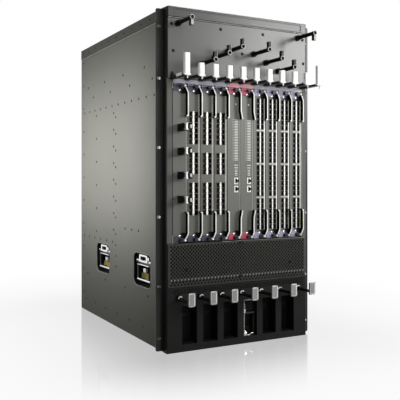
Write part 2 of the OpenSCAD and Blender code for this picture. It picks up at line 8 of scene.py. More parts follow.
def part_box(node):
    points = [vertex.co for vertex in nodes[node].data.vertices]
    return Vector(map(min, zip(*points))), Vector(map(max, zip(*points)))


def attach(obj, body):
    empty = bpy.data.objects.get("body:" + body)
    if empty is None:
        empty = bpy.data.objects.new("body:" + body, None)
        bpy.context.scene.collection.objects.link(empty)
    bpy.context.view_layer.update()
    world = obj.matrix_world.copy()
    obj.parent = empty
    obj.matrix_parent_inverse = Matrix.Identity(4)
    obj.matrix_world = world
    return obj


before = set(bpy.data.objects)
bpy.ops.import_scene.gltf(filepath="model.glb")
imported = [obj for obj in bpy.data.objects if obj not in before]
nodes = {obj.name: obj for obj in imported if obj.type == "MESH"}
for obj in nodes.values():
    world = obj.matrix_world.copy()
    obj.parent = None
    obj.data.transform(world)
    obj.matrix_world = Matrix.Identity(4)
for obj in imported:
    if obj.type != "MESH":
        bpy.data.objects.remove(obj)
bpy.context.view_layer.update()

mm = 0.001
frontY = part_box("front_frame")[0].y
bodyHalf = 220   # half the body's width, in millimetres
scene = bpy.context.scene
scene.view_settings.view_transform = "Standard"


def grey(value):
    return (value, value, value)


def back(depth):
    # a distance in millimetres behind the front face, as a Y in metres
    return frontY + depth * mm


view = {
    "place": (-0.938, back(-1507), 0.4476),
    "turn": -28.365,
    "lens": 59.1,
    "shiftY": -0.0549,
}
studio = {
    "worldFill": 0.04,
    "lamps": {
        "sideLight": {"place": (-0.42, 0.08, 0.52), "aim": (-0.22, 0.08, 0.52), "size": (0.74, 0.44),
                      "power": 2.4},
        "frontLight": {"place": (1.63, -2.1, 1.15), "aim": (0.08, -0.34, 0.65), "size": (0.9, 0.9),
                       "power": 42, "shine": True},
        "fillLight": {"place": (-0.2, -2.4, 1.0), "aim": (0.05, -0.34, 0.78), "size": (0.9, 0.8),
                      "power": 3.0, "spread": 50},
        "backLight": {"place": (1.3, 2.3, 1.3), "aim": (0.0, 0.1, 0.5), "size": (1.4, 1.4), "power": 45},
        "topLight": {"place": (0.1, -0.2, 2.9), "aim": (0.0, 0.0, 0.5), "size": (2.2, 2.2), "power": 20},
    },
    "floorSize": 14.0,
    "floorTone": 0.1,
    "polish": 0.06,        # how blurred the image in the floor is
    "mirrorShare": 0.44,   # how much of the object the floor shows beside it
    "mirrorReach": 0.42,   # how far from the object that image fades away
    "shadowShare": 0.08,   # how much of the floor's colour comes from the light on it
    "shadowReach": 1.0,
}


def placeCamera():
    cameraData = bpy.data.cameras.new("camera")
    cameraData.lens = view["lens"]
    cameraData.sensor_width = 36
    cameraData.shift_y = view["shiftY"]
    camera = bpy.data.objects.new("camera", cameraData)
    camera.location = view["place"]
    camera.rotation_euler = (math.radians(90), 0, math.radians(view["turn"]))
    scene.collection.objects.link(camera)
    scene.camera = camera


def leaveOutFloor(holder, floor):
    # without this the lamp's image shows as a patch on the polished floor
    exceptions = bpy.data.collections.new("floorAlone")
    exceptions.objects.link(floor)
    exceptions.collection_objects[0].light_linking.link_state = "EXCLUDE"
    holder.light_linking.receiver_collection = exceptions


def addLamp(name, lamp, floor):
    lampData = bpy.data.lights.new(name, "AREA")
    lampData.shape = "RECTANGLE"
    lampData.size, lampData.size_y = lamp["size"]
    lampData.energy = lamp["power"]
    lampData.spread = math.radians(lamp.get("spread", 180))
    holder = bpy.data.objects.new(name, lampData)
    holder.location = lamp["place"]
    aim = Vector(lamp["aim"]) - Vector(lamp["place"])
    holder.rotation_euler = aim.to_track_quat("-Z", "Y").to_euler()
    holder.visible_camera = False
    holder.visible_glossy = lamp.get("shine", False)
    if lamp.get("shine"):
        leaveOutFloor(holder, floor)
    scene.collection.objects.link(holder)


def mathNode(tree, operation, *values):
    node = tree.nodes.new("ShaderNodeMath")
    node.operation = operation
    for socket, value in zip(node.inputs, values):
        if isinstance(value, (int, float)):
            socket.default_value = value
        else:
            tree.links.new(value, socket)
    return node.outputs[0]


def seenDirectly(tree):
    # one where a ray shows the background itself, in a mirror and through glass too
    path = tree.nodes.new("ShaderNodeLightPath")
    direct = mathNode(tree, "MAXIMUM", path.outputs["Is Camera Ray"], path.outputs["Is Glossy Ray"])
    return mathNode(tree, "MAXIMUM", direct, path.outputs["Is Transmission Ray"])


def makeWorld():
    world = bpy.data.worlds.new("studio")
    scene.world = world
    world.use_nodes = True
    tree = world.node_tree
    background = tree.nodes["Background"]
    background.inputs["Color"].default_value = (1, 1, 1, 1)
    strength = tree.nodes.new("ShaderNodeMapRange")
    strength.inputs["To Min"].default_value = studio["worldFill"]
    strength.inputs["To Max"].default_value = 1.0
    tree.links.new(seenDirectly(tree), strength.inputs["Value"])
    tree.links.new(strength.outputs["Result"], background.inputs["Strength"])


def nearShare(tree, share, reach):
    # a share beside the object's footprint that fades to nothing at the reach
    place = tree.nodes.new("ShaderNodeNewGeometry").outputs["Position"]
    split = tree.nodes.new("ShaderNodeSeparateXYZ")
    tree.links.new(place, split.inputs[0])
    outside = []
    for axis, half in ((0, bodyHalf * mm), (1, -frontY)):
        outside.append(mathNode(tree, "MAXIMUM", mathNode(
            tree, "SUBTRACT", mathNode(tree, "ABSOLUTE", split.outputs[axis]), half), 0.0))
    squares = mathNode(tree, "ADD", *(mathNode(tree, "POWER", value, 2.0) for value in outside))
    fade = tree.nodes.new("ShaderNodeMapRange")
    fade.interpolation_type = "SMOOTHSTEP"
    fade.inputs["From Max"].default_value = reach
    fade.inputs["To Min"].default_value = share
    fade.inputs["To Max"].default_value = 0.0
    tree.links.new(mathNode(tree, "SQRT", squares), fade.inputs["Value"])
    return fade.outputs["Result"]


def mixShader(tree, factor, first, second):
    mix = tree.nodes.new("ShaderNodeMixShader")
    tree.links.new(factor, mix.inputs[0])
    tree.links.new(first, mix.inputs[1])
    tree.links.new(second, mix.inputs[2])
    return mix.outputs[0]


def makeFloor():
    half = studio["floorSize"] / 2
    mesh = bpy.data.meshes.new("floor")
    corners = [(-half, -half, 0), (half, -half, 0), (half, half, 0), (-half, half, 0)]
    mesh.from_pydata(corners, [], [(0, 1, 2, 3)])
    floor = bpy.data.objects.new("floor", mesh)
    floor.location.z = -0.0005
    scene.collection.objects.link(floor)
    material = bpy.data.materials.new("paleFloor")
    material.use_nodes = True
    tree = material.node_tree
    shader = tree.nodes["Principled BSDF"]
    shader.inputs["Base Color"].default_value = (*grey(studio["floorTone"]), 1)
    shader.inputs["Roughness"].default_value = 0.9
    shader.inputs["Specular IOR Level"].default_value = 0.0
    mirror = tree.nodes.new("ShaderNodeBsdfGlossy")
    mirror.inputs["Roughness"].default_value = studio["polish"]
    glow = tree.nodes.new("ShaderNodeEmission")
    lit = nearShare(tree, studio["shadowShare"], studio["shadowReach"])
    pale = mixShader(tree, lit, glow.outputs[0], shader.outputs[0])
    image = nearShare(tree, studio["mirrorShare"], studio["mirrorReach"])
    polished = mixShader(tree, image, pale, mirror.outputs[0])
    shown = mixShader(tree, seenDirectly(tree), shader.outputs[0], polished)
    tree.links.new(shown, tree.nodes["Material Output"].inputs["Surface"])
    mesh.materials.append(material)
    return floor


placeCamera()
makeWorld()
floor = makeFloor()
for lampName, lamp in studio["lamps"].items():
    addLamp(lampName, lamp, floor)
print("stage: camera, floor and lights")


def newGroup(name, inputs, outputs):
    group = bpy.data.node_groups.new(name, "ShaderNodeTree")
    for label, kind, value in inputs:
        socket = group.interface.new_socket(name=label, in_out="INPUT", socket_type="NodeSocket" + kind)
        if value is not None:
            socket.default_value = value
    for label, kind in outputs:
        group.interface.new_socket(name=label, in_out="OUTPUT", socket_type="NodeSocket" + kind)
    return group, group.nodes.new("NodeGroupInput"), group.nodes.new("NodeGroupOutput")


def noiseNode(tree, vector, scale, detail=2.0):
    noise = tree.nodes.new("ShaderNodeTexNoise")
    noise.inputs["Detail"].default_value = detail
    if isinstance(scale, (int, float)):
        noise.inputs["Scale"].default_value = scale
    else:
        tree.links.new(scale, noise.inputs["Scale"])
    tree.links.new(vector, noise.inputs["Vector"])
    return noise.outputs["Fac"]


def makeZoneMask():
    # one inside a box given by its low and high corners
    group, start, end = newGroup(
        "zoneMask", [("Vector", "Vector", None), ("Low", "Vector", None), ("High", "Vector", None)],
        [("Mask", "Float")])
    split = {}
    for label in ("Vector", "Low", "High"):
        split[label] = group.nodes.new("ShaderNodeSeparateXYZ")
        group.links.new(start.outputs[label], split[label].inputs[0])
    mask = None
    for axis in range(3):
        place, low, high = (split[label].outputs[axis] for label in ("Vector", "Low", "High"))
        inside = mathNode(group, "MULTIPLY", mathNode(group, "GREATER_THAN", place, low),
                          mathNode(group, "LESS_THAN", place, high))
        mask = inside if mask is None else mathNode(group, "MULTIPLY", mask, inside)
    group.links.new(mask, end.inputs["Mask"])
    return group


def makeFacingMask():
    # one where the surface faces a direction of the piece itself
    group, start, end = newGroup(
        "facingMask", [("Normal", "Vector", None), ("Direction", "Vector", None), ("Limit", "Float", 0.7)],
        [("Mask", "Float")])
    dot = group.nodes.new("ShaderNodeVectorMath")
    dot.operation = "DOT_PRODUCT"
    group.links.new(start.outputs["Normal"], dot.inputs[0])
    group.links.new(start.outputs["Direction"], dot.inputs[1])
    facing = mathNode(group, "GREATER_THAN", dot.outputs["Value"], start.outputs["Limit"])
    group.links.new(facing, end.inputs["Mask"])
    return group


def makeSlotFold():
    # brings every slot's X to the same place, measured from the slot's middle
    group, start, end = newGroup(
        "slotFold", [("Vector", "Vector", None), ("Pitch", "Float", 0.04064)], [("Vector", "Vector")])
    split = group.nodes.new("ShaderNodeSeparateXYZ")
    join = group.nodes.new("ShaderNodeCombineXYZ")
    group.links.new(start.outputs["Vector"], split.inputs[0])
    wrapped = mathNode(group, "WRAP", split.outputs[0], start.outputs["Pitch"], 0.0)
    half = mathNode(group, "MULTIPLY", start.outputs["Pitch"], 0.5)
    group.links.new(mathNode(group, "SUBTRACT", wrapped, half), join.inputs[0])
    group.links.new(split.outputs[1], join.inputs[1])
    group.links.new(split.outputs[2], join.inputs[2])
    group.links.new(join.outputs[0], end.inputs["Vector"])
    return group


def makePaintGrain():
    # fine orange peel as a height, and slow clouds of tone
    group, start, end = newGroup(
        "paintGrain", [("Vector", "Vector", None), ("Scale", "Float", 900.0)],
        [("Height", "Float"), ("Tone", "Float")])
    vector, scale = start.outputs["Vector"], start.outputs["Scale"]
    fine = noiseNode(group, vector, scale, 3.0)
    pores = noiseNode(group, vector, mathNode(group, "MULTIPLY", scale, 0.35), 1.0)
    group.links.new(mathNode(group, "MULTIPLY_ADD", fine, 0.6, mathNode(group, "MULTIPLY", pores, 0.4)),
                    end.inputs["Height"])
    slow = noiseNode(group, vector, mathNode(group, "MULTIPLY", scale, 0.008), 3.0)
    group.links.new(slow, end.inputs["Tone"])
    return group


def makeBrushedGrain():
    # long thin scratches along one axis, for plated and brushed metal
    group, start, end = newGroup(
        "brushedGrain",
        [("Vector", "Vector", None), ("Stretch", "Vector", (1, 1, 1)), ("Scale", "Float", 600.0)],
        [("Height", "Float"), ("Tone", "Float")])
    scaled = group.nodes.new("ShaderNodeVectorMath")
    scaled.operation = "MULTIPLY"
    group.links.new(start.outputs["Vector"], scaled.inputs[0])
    group.links.new(start.outputs["Stretch"], scaled.inputs[1])
    group.links.new(noiseNode(group, scaled.outputs[0], start.outputs["Scale"], 3.0), end.inputs["Height"])
    slow = noiseNode(group, scaled.outputs[0], mathNode(group, "MULTIPLY", start.outputs["Scale"], 0.1), 2.0)
    group.links.new(slow, end.inputs["Tone"])
    return group


def makeDustFilm():
    # thin dust that settles on what faces up, broken up by noise
    group, start, end = newGroup(
        "dustFilm", [("Vector", "Vector", None), ("Amount", "Float", 0.2)], [("Mask", "Float")])
    split = group.nodes.new("ShaderNodeSeparateXYZ")
    group.links.new(group.nodes.new("ShaderNodeNewGeometry").outputs["Normal"], split.inputs[0])
    upward = mathNode(group, "MAXIMUM", split.outputs[2], 0.0)
    film = mathNode(group, "MULTIPLY", upward, noiseNode(group, start.outputs["Vector"], 22.0, 4.0))
    group.links.new(mathNode(group, "MULTIPLY", film, start.outputs["Amount"]), end.inputs["Mask"])
    return group


def makeEdgeWear():
    # edges that read as rounded, and a broken line of wear along them
    group, start, end = newGroup(
        "edgeWear", [("Vector", "Vector", None), ("Radius", "Float", 0.0006), ("Amount", "Float", 0.3)],
        [("Normal", "Vector"), ("Mask", "Float")])
    bevel = group.nodes.new("ShaderNodeBevel")
    bevel.samples = 4
    group.links.new(start.outputs["Radius"], bevel.inputs["Radius"])
    dot = group.nodes.new("ShaderNodeVectorMath")
    dot.operation = "DOT_PRODUCT"
    group.links.new(bevel.outputs["Normal"], dot.inputs[0])
    group.links.new(group.nodes.new("ShaderNodeNewGeometry").outputs["Normal"], dot.inputs[1])
    turned = mathNode(group, "SUBTRACT", 1.0, dot.outputs["Value"])
    broken = noiseNode(group, start.outputs["Vector"], 260.0, 4.0)
    wear = mathNode(group, "MULTIPLY", mathNode(group, "MULTIPLY", turned, broken), start.outputs["Amount"])
    stronger = mathNode(group, "MULTIPLY", wear, 6.0)
    group.links.new(mathNode(group, "MINIMUM", stronger, 1.0), end.inputs["Mask"])
    group.links.new(bevel.outputs["Normal"], end.inputs["Normal"])
    return group


def makeBoardTraces():
    # copper tracks and rows of pads on a circuit board
    group, start, end = newGroup("boardTraces", [("Vector", "Vector", None)], [("Mask", "Float")])
    swap = group.nodes.new("ShaderNodeMapping")
    swap.inputs["Rotation"].default_value = (math.radians(90), 0, math.radians(90))
    group.links.new(start.outputs["Vector"], swap.inputs["Vector"])
    bricks = group.nodes.new("ShaderNodeTexBrick")
    bricks.inputs["Scale"].default_value = 90.0
    bricks.inputs["Mortar Size"].default_value = 0.03
    group.links.new(swap.outputs["Vector"], bricks.inputs["Vector"])
    patches = mathNode(group, "GREATER_THAN", noiseNode(group, start.outputs["Vector"], 30.0, 1.0), 0.5)
    group.links.new(mathNode(group, "MULTIPLY", bricks.outputs["Fac"], patches), end.inputs["Mask"])
    return group


groups = {
    "zoneMask": makeZoneMask(),
    "facingMask": makeFacingMask(),
    "slotFold": makeSlotFold(),
    "paintGrain": makePaintGrain(),
    "brushedGrain": makeBrushedGrain(),
    "dustFilm": makeDustFilm(),
    "edgeWear": makeEdgeWear(),
    "boardTraces": makeBoardTraces(),
}
print("stage: node groups")


def placeGroup(tree, name, **values):
    node = tree.nodes.new("ShaderNodeGroup")
    node.node_tree = groups[name]
    for label, value in values.items():
        if isinstance(value, (int, float, tuple)):
            node.inputs[label].default_value = value
        else:
            tree.links.new(value, node.inputs[label])
    return node


def mixNode(tree, kind, factor, first, second):
    # kind is "FLOAT" for a value or "RGBA" for a colour
    mix = tree.nodes.new("ShaderNodeMix")
    mix.data_type = kind
    places = (0, 2, 3) if kind == "FLOAT" else (0, 6, 7)
    for place, value in zip(places, (factor, first, second)):
        if isinstance(value, (int, float)):
            mix.inputs[place].default_value = value
        elif isinstance(value, tuple):
            mix.inputs[place].default_value = (*value, 1)
        else:
            tree.links.new(value, mix.inputs[place])
    return mix.outputs[0 if kind == "FLOAT" else 2]


plainLook = {   # what a finish has where its own dictionary doesn't say
    "rough": 0.4, "roughSpread": 0.08, "metal": 0.0, "specular": 0.3,
    "grain": 900.0, "tone": 0.12, "bump": 0.12, "bumpDepth": 0.0002,
    "edge": 0.0, "wear": 0.3, "dust": 0.0, "brushed": None, "traces": None,
}
dustLook = {"colour": (0.42, 0.41, 0.38), "rough": 0.9}


def makeFinish(name, look, zones=(), fold=False):
    # a finish with grain, tone, wear and dust; each zone is an area of the piece with another finish
    look = {**plainLook, **look}
    base, rough, metal = look["colour"], look["rough"], look["metal"]
    material = bpy.data.materials.new(name)
    material.use_nodes = True
    tree = material.node_tree
    shader = tree.nodes["Principled BSDF"]
    coordinates = tree.nodes.new("ShaderNodeTexCoord")
    place = coordinates.outputs["Object"]
    if look["brushed"]:
        grain = placeGroup(tree, "brushedGrain", Vector=place, Stretch=look["brushed"], Scale=look["grain"])
    else:
        grain = placeGroup(tree, "paintGrain", Vector=place, Scale=look["grain"])
    darker, lighter = (tuple(min(1.0, channel * (1 + change)) for channel in base)
                       for change in (-look["tone"], look["tone"]))
    colour = mixNode(tree, "RGBA", grain.outputs["Tone"], darker, lighter)
    spread = look["roughSpread"]
    roughness = mathNode(tree, "MULTIPLY_ADD", grain.outputs["Tone"], spread, rough - spread / 2)
    metallic = metal
    if look["traces"]:
        tracks = placeGroup(tree, "boardTraces", Vector=place).outputs["Mask"]
        colour = mixNode(tree, "RGBA", tracks, colour, look["traces"])
    zonePlace = placeGroup(tree, "slotFold", Vector=place).outputs["Vector"] if fold else place
    for area in zones:
        if area["facing"]:
            inside = placeGroup(tree, "facingMask", Normal=coordinates.outputs["Normal"],
                                Direction=area["facing"])
        else:
            inside = placeGroup(tree, "zoneMask", Vector=zonePlace, Low=area["low"], High=area["high"])
        mask = inside.outputs["Mask"]
        colour = mixNode(tree, "RGBA", mask, colour, area["colour"])
        roughness = mixNode(tree, "FLOAT", mask, roughness, area["rough"])
        if area["metal"] != metal or not isinstance(metallic, (int, float)):
            metallic = mixNode(tree, "FLOAT", mask, metallic, area["metal"])
    bump = tree.nodes.new("ShaderNodeBump")
    if look["edge"]:
        edge = placeGroup(tree, "edgeWear", Vector=place, Radius=look["edge"] * mm, Amount=look["wear"])
        worn = look.get("worn", tuple(min(1.0, channel * 1.6 + 0.03) for channel in base))
        colour = mixNode(tree, "RGBA", edge.outputs["Mask"], colour, worn)
        tree.links.new(edge.outputs["Normal"], bump.inputs["Normal"])
    if look["dust"] > 0:
        film = placeGroup(tree, "dustFilm", Vector=place, Amount=look["dust"]).outputs["Mask"]
        colour = mixNode(tree, "RGBA", film, colour, dustLook["colour"])
        roughness = mixNode(tree, "FLOAT", film, roughness, dustLook["rough"])
    tree.links.new(colour, shader.inputs["Base Color"])
    tree.links.new(roughness, shader.inputs["Roughness"])
    if isinstance(metallic, (int, float)):
        shader.inputs["Metallic"].default_value = metallic
    else:
        tree.links.new(metallic, shader.inputs["Metallic"])
    shader.inputs["Specular IOR Level"].default_value = look["specular"]
    bump.inputs["Strength"].default_value = look["bump"]
    bump.inputs["Distance"].default_value = look["bumpDepth"]
    tree.links.new(grain.outputs["Height"], bump.inputs["Height"])
    tree.links.new(bump.outputs["Normal"], shader.inputs["Normal"])
    return material


free = (None, None)   # no limit either way
farAway = 9.0         # metres, past everything


def zoneCorner(values, far):
    x, depth, z = values
    return (far if x is None else x * mm, far if depth is None else back(depth),
            far if z is None else z * mm)


def zone(colour, across=free, depth=free, up=free, rough=0.4, metal=0.0, facing=None):
    # an area with another finish, by its limits in millimetres or by the way it faces
    lows, highs = zip(across, depth, up)
    return {"low": zoneCorner(lows, -farAway), "high": zoneCorner(highs, farAway), "facing": facing,
            "colour": colour, "rough": rough, "metal": metal}


slotEdge = 40.64   # from one card slot to the next
cardMiddle = 486   # half way up the cards
bayPitch = 62      # from one power bay to the next
cardColours = {
    "dark": (0.112, 0.114, 0.101),
    "manager": (0.128, 0.13, 0.117),
    "light": (0.14, 0.14, 0.128),
    "purple": (0.042, 0.04, 0.066),
    "lavender": (0.3, 0.285, 0.4),
    "red": (0.42, 0.06, 0.1),
    "rose": (0.85, 0.42, 0.48),
    "gold": (0.055, 0.038, 0.018),
    "cage": (0.008, 0.008, 0.008),
    "silver": (0.8, 0.8, 0.79),
    "strip": (0.95, 0.94, 0.88),
    "board": (0.012, 0.07, 0.03),
    "black": (0.008, 0.008, 0.008),
    # near black, the painted shadow below the ejector pads
    "shade": (0.006, 0.006, 0.009),
}
black, silver = cardColours["black"], cardColours["silver"]
cardPorts = {
    "pitch": 14.25,        # from one row of ports to the next
    "jacks": (418, 440),   # the middles of a manager's two jacks
    # limits of the bright strip and of the whole column across the card, then the finishes inside,
    # how far the tabs reach, and each group's lowest edge and number of rows
    "fibre": {"strip": (-4.3, 0.3), "sides": (-15.3, 11.3), "inside": "gold", "spring": "goldSpring",
              "tab": 0.9, "groups": ((350.5, 6), (457, 4), (535, 6))},
    "wide": {"strip": (0.2, 3.3), "sides": (-9.2, 12.6), "inside": "cage", "spring": "blank",
             "tab": 0.7, "groups": ((306.5, 6), (398, 6), (489.5, 6), (581, 6))},
}


def cardZones(padColour, ports, jacks):
    # rear parts, board and connectors, then the ports, the ejector pads with a painted shadow below their
    # screws, and the thumbscrews
    zones = [
        zone((0.014, 0.015, 0.014), depth=(1.7, None), rough=0.6),
        zone(cardColours["board"], across=(-14.1, -12.2), depth=(1.7, None), rough=0.35),
        zone(grey(0.3), across=(-12.2, 12), depth=(140, 240), rough=0.35, metal=1.0),
    ]
    if ports:
        strip, sides = ports["strip"], ports["sides"]
        for lowest, count in ports["groups"]:
            up = (lowest, lowest + count * cardPorts["pitch"])
            zones += [
                zone(black, across=sides, depth=(-1.3, 44), up=up, rough=0.5),
                zone(cardColours[ports["inside"]], across=(sides[0], strip[0] - 4), depth=(0.5, 30), up=up),
                zone(cardColours["strip"], across=strip, depth=(-1.6, -1.3), up=up, rough=0.35),
            ]
    if jacks:
        zones += [zone(black, across=(1, 13), depth=(-1.5, 24), up=(middle - 8.6, middle + 8.6))
                  for middle in cardPorts["jacks"]]
        zones.append(zone(black, across=(0, 18), depth=(1.7, 24), up=(404, 452)))
    pad, shade, screw = {"depth": (-4.1, -0.05)}, {"depth": (None, -0.05)}, {"depth": (None, -0.5)}
    zones += [
        zone(padColour, across=(-20.2, 9), up=(671, 690), **pad),
        zone(padColour, across=(-20.2, 9), up=(282, 301), **pad),
        zone(black, across=(-6, 6), depth=(None, -4.05), rough=0.3),
        # painted shadow: near-black triangles below each pad's screw, where the lever's shadow falls
        zone(cardColours["shade"], across=(1, 7.1), up=(671, 678.5), **shade),
        zone(cardColours["shade"], across=(1, 7.1), up=(293.5, 301), **shade),
        zone(silver, across=(7.02, 15), up=(671, None), rough=0.25, metal=1.0, **screw),
        zone(silver, across=(7.02, 15), up=(None, 301), rough=0.25, metal=1.0, **screw),
    ]
    return zones


def cardFinish(name, face, pad, ports=None, jacks=False):
    look = dict(colour=cardColours[face], grain=1100.0, tone=0.08, bump=0.08, dust=0.05, edge=0.4,
                wear=0.25)
    return makeFinish(name, look, cardZones(cardColours[pad], ports, jacks), fold=True)


def paintedChromeReflections():
    # painted reflection: dark zones painted on the folded handle's plating where it would mirror the dark
    # recess
    areas = [{"up": (206.6, 214)}, {"up": (None, 164)}]
    areas += [{"depth": pair, "up": (150, 169)} for pair in ((111, 121), (421, 431))]
    areas += [{"depth": pair, "up": (203.9, 206.7)} for pair in ((111, 138), (421, 448))]
    return [zone(grey(0.02), up=(168.5, 204))] + [zone(grey(0.012), **area) for area in areas]


paintLook = dict(colour=(0.23, 0.23, 0.207), rough=0.42, specular=0.02, grain=700.0, tone=0.07, bump=0.1,
                 dust=0.15, edge=0.6, wear=0.25)
blackLook = dict(colour=(0.0075, 0.0078, 0.0072), specular=0.06, tone=0.2, bump=0.1, dust=0.03, edge=0.7,
                 wear=0.2, worn=(0.08, 0.08, 0.075))
cageMetal = dict(rough=0.28, metal=0.9)
finishes = {
    "side": makeFinish("sidePaint", paintLook),
    "cover": makeFinish("coverPaint", dict(paintLook, colour=(0.12, 0.12, 0.108))),
    "rear": makeFinish("rearPaint", dict(paintLook, colour=(0.19, 0.19, 0.17))),
    "black": makeFinish("blackPaint", blackLook),
    "ear": makeFinish("earPaint", dict(blackLook, colour=(0.012, 0.012, 0.011), rough=0.3, specular=0.25)),
    "front": makeFinish("frontPaint", dict(blackLook, colour=(0.018, 0.0185, 0.0175)), [
        zone((0.12, 0.122, 0.112), depth=(-0.5, 2.2), up=(280.1, 702)),
        zone(black, across=(-216.9, 216.9), depth=(0.3, 21.1), up=(168, None), rough=0.5)]),
    "blank": makeFinish("blankPlastic", dict(blackLook, colour=(0.006, 0.0062, 0.006), dust=0.0)),
    "panel": makeFinish("panelPaint", dict(paintLook, colour=(0.075, 0.077, 0.071), rough=0.3,
                                           specular=0.42, bump=0.06)),
    "bezel": makeFinish("bezelPaint", dict(paintLook, colour=(0.05, 0.05, 0.047), rough=0.3, specular=0.4)),
    "posts": makeFinish("postPlastic", dict(colour=grey(0.005), rough=0.38, specular=0.05, bump=0.15,
                                            edge=0.5), [
        zone((0.06, 0.06, 0.058), depth=(None, -80.3))]),
    "upperComb": makeFinish("combPlastic", dict(colour=grey(0.008), specular=0.06, bump=0.1, edge=0.4), [
        # painted highlight along the arms' top edges
        zone((0.5, 0.5, 0.47), depth=(-79.9, -2.1), up=(705.3, 706)),
        zone((0.93, 0.93, 0.92), depth=(None, -74), rough=0.35),
        zone(grey(0.02), depth=(-79, -73.9), up=(700, 702.9))]),
    "lowerComb": makeFinish("lowerCombPlastic", dict(colour=grey(0.006), rough=0.36, specular=0.06, bump=0.1,
                                                     edge=0.6, worn=grey(0.5)), [
        zone((0.34, 0.345, 0.34), depth=(None, -66))]),
    "rail": makeFinish("railPaint", dict(colour=(0.42, 0.415, 0.48), tone=0.06, specular=0.4, edge=0.4,
                                         wear=0.1), [
        zone(cardColours["rose"], across=(-slotEdge, slotEdge), depth=(None, 1), up=(None, 702.1),
             rough=0.42),
        zone(black, depth=(None, 1), up=(690, 690.9), rough=0.5),
        zone((0.12, 0.12, 0.11), depth=(1.65, None))]),
    "board": makeFinish("boardLaminate", dict(colour=cardColours["board"], rough=0.35,
                                              traces=(0.35, 0.22, 0.08)), [
        zone(grey(0.015), depth=(None, 399.9))]),
    "filter": makeFinish("filterPaint", dict(colour=(0.05, 0.052, 0.046), rough=0.38, specular=0.1, tone=0.2,
                                             edge=0.35, worn=(0.08, 0.08, 0.07)), [
        zone(grey(0.0025), depth=(0.7, 21), rough=0.95),
        zone((0.02, 0.02, 0.018), depth=(None, -1.1))]),
    "powerUnit": makeFinish("powerUnitPaint", dict(colour=grey(0.006), specular=0.04), [
        zone((0.05, 0.052, 0.05), depth=(None, 7), up=(77.9, 82.1))]),
    "tray": makeFinish("trayPlate", dict(colour=(0.5, 0.5, 0.49), rough=0.35, metal=1.0, grain=600.0,
                                         brushed=(1, 12, 12), edge=0.4, dust=0.1)),
    "chrome": makeFinish("handleChrome", dict(colour=(0.82, 0.82, 0.83), rough=0.16, metal=1.0, tone=0.05,
                                              roughSpread=0.06, bump=0.03, edge=0.6, worn=grey(0.6)),
                         paintedChromeReflections()),
    "bracket": makeFinish("bracketChrome", dict(colour=grey(0.85), rough=0.2, metal=1.0, bump=0.03)),
    "rim": makeFinish("dishRim", dict(colour=(0.26, 0.26, 0.245), rough=0.35, bump=0.03)),
    # painted light: each blade's front faces are pale as if lit and its sides near black as if in shadow; the
    # front stays black near the pads
    "lever": makeFinish("leverPaintedLitFront", dict(colour=grey(0.003), specular=0.006, bump=0.05), [
        zone((0.8, 0.8, 0.76), rough=0.35, facing=(0, -1, 0)),
        zone(grey(0.003), up=(680, None)),
        zone(grey(0.003), up=(None, 292))]),
    "optics": makeFinish("opticMetal", dict(colour=grey(0.006), specular=0.05, edge=0.4), [
        zone((0.75, 0.75, 0.73), depth=(-53.5, -42), **cageMetal),
        zone(grey(0.03), depth=(-47.6, -46.4)),
        zone(black, depth=(None, -49.5)),
        zone((0.75, 0.75, 0.73), across=(None, -186), depth=(None, -49.5), **cageMetal)]),
    "inlets": makeFinish("inletPlastic", dict(colour=grey(0.012), rough=0.45, edge=0.5, dust=0.05), [
        zone((0.7, 0.62, 0.4), depth=(668, 683.3), up=(60, 76), rough=0.3, metal=1.0)]),
    "rotor": makeFinish("rotorPlastic", dict(colour=(0.014, 0.014, 0.015), rough=0.42, edge=0.5, dust=0.25)),
    "opticCard": cardFinish("opticFace", "dark", "purple"),
    "darkCard": cardFinish("fibreFace", "dark", "purple", cardPorts["fibre"]),
    "managerCard": cardFinish("managerFace", "manager", "red", jacks=True),
    "lightCard": cardFinish("wideFibreFace", "light", "lavender", cardPorts["wide"]),
    "screwDark": makeFinish("screwBlack", dict(colour=grey(0.006), specular=0.05, bump=0.05)),
    "screwGrey": makeFinish("screwGrey", dict(colour=(0.012, 0.012, 0.011), specular=0.1, bump=0.05,
                                              tone=0.2)),
    "bright": makeFinish("brightSteel", dict(colour=(0.82, 0.82, 0.8), rough=0.24, metal=1.0, grain=600.0,
                                             brushed=(1, 1, 10), tone=0.05)),
    "whitePart": makeFinish("whitePlastic", dict(colour=(0.8, 0.8, 0.77), bump=0.05)),
    "brightStrip": makeFinish("brightGasket", dict(colour=(0.8, 0.8, 0.75), rough=0.45, grain=500.0, tone=0.2,
                                                   bump=0.5)),
    "paleStrip": makeFinish("paleGasket", dict(colour=(0.36, 0.36, 0.32), rough=0.45, grain=500.0, tone=0.3,
                                               bump=0.5)),
    "paleMark": makeFinish("paleMark", dict(colour=(0.42, 0.44, 0.4), rough=0.5, bump=0.03)),
    "blackLine": makeFinish("blackSeam", dict(colour=grey(0.004), rough=0.6, specular=0.05)),
    "yellowPatch": makeFinish("yellowPatch", dict(colour=(0.93, 0.8, 0.28), rough=0.5, bump=0.03)),
    "yellowTag": makeFinish("yellowTag", dict(colour=(0.6, 0.7, 0.06), rough=0.5, bump=0.03)),
    "goldSpring": makeFinish("goldSpring", dict(colour=(0.12, 0.08, 0.03), metal=0.5)),
    "copper": makeFinish("copperWire", dict(colour=(0.8, 0.78, 0.74), rough=0.3, metal=1.0)),
}

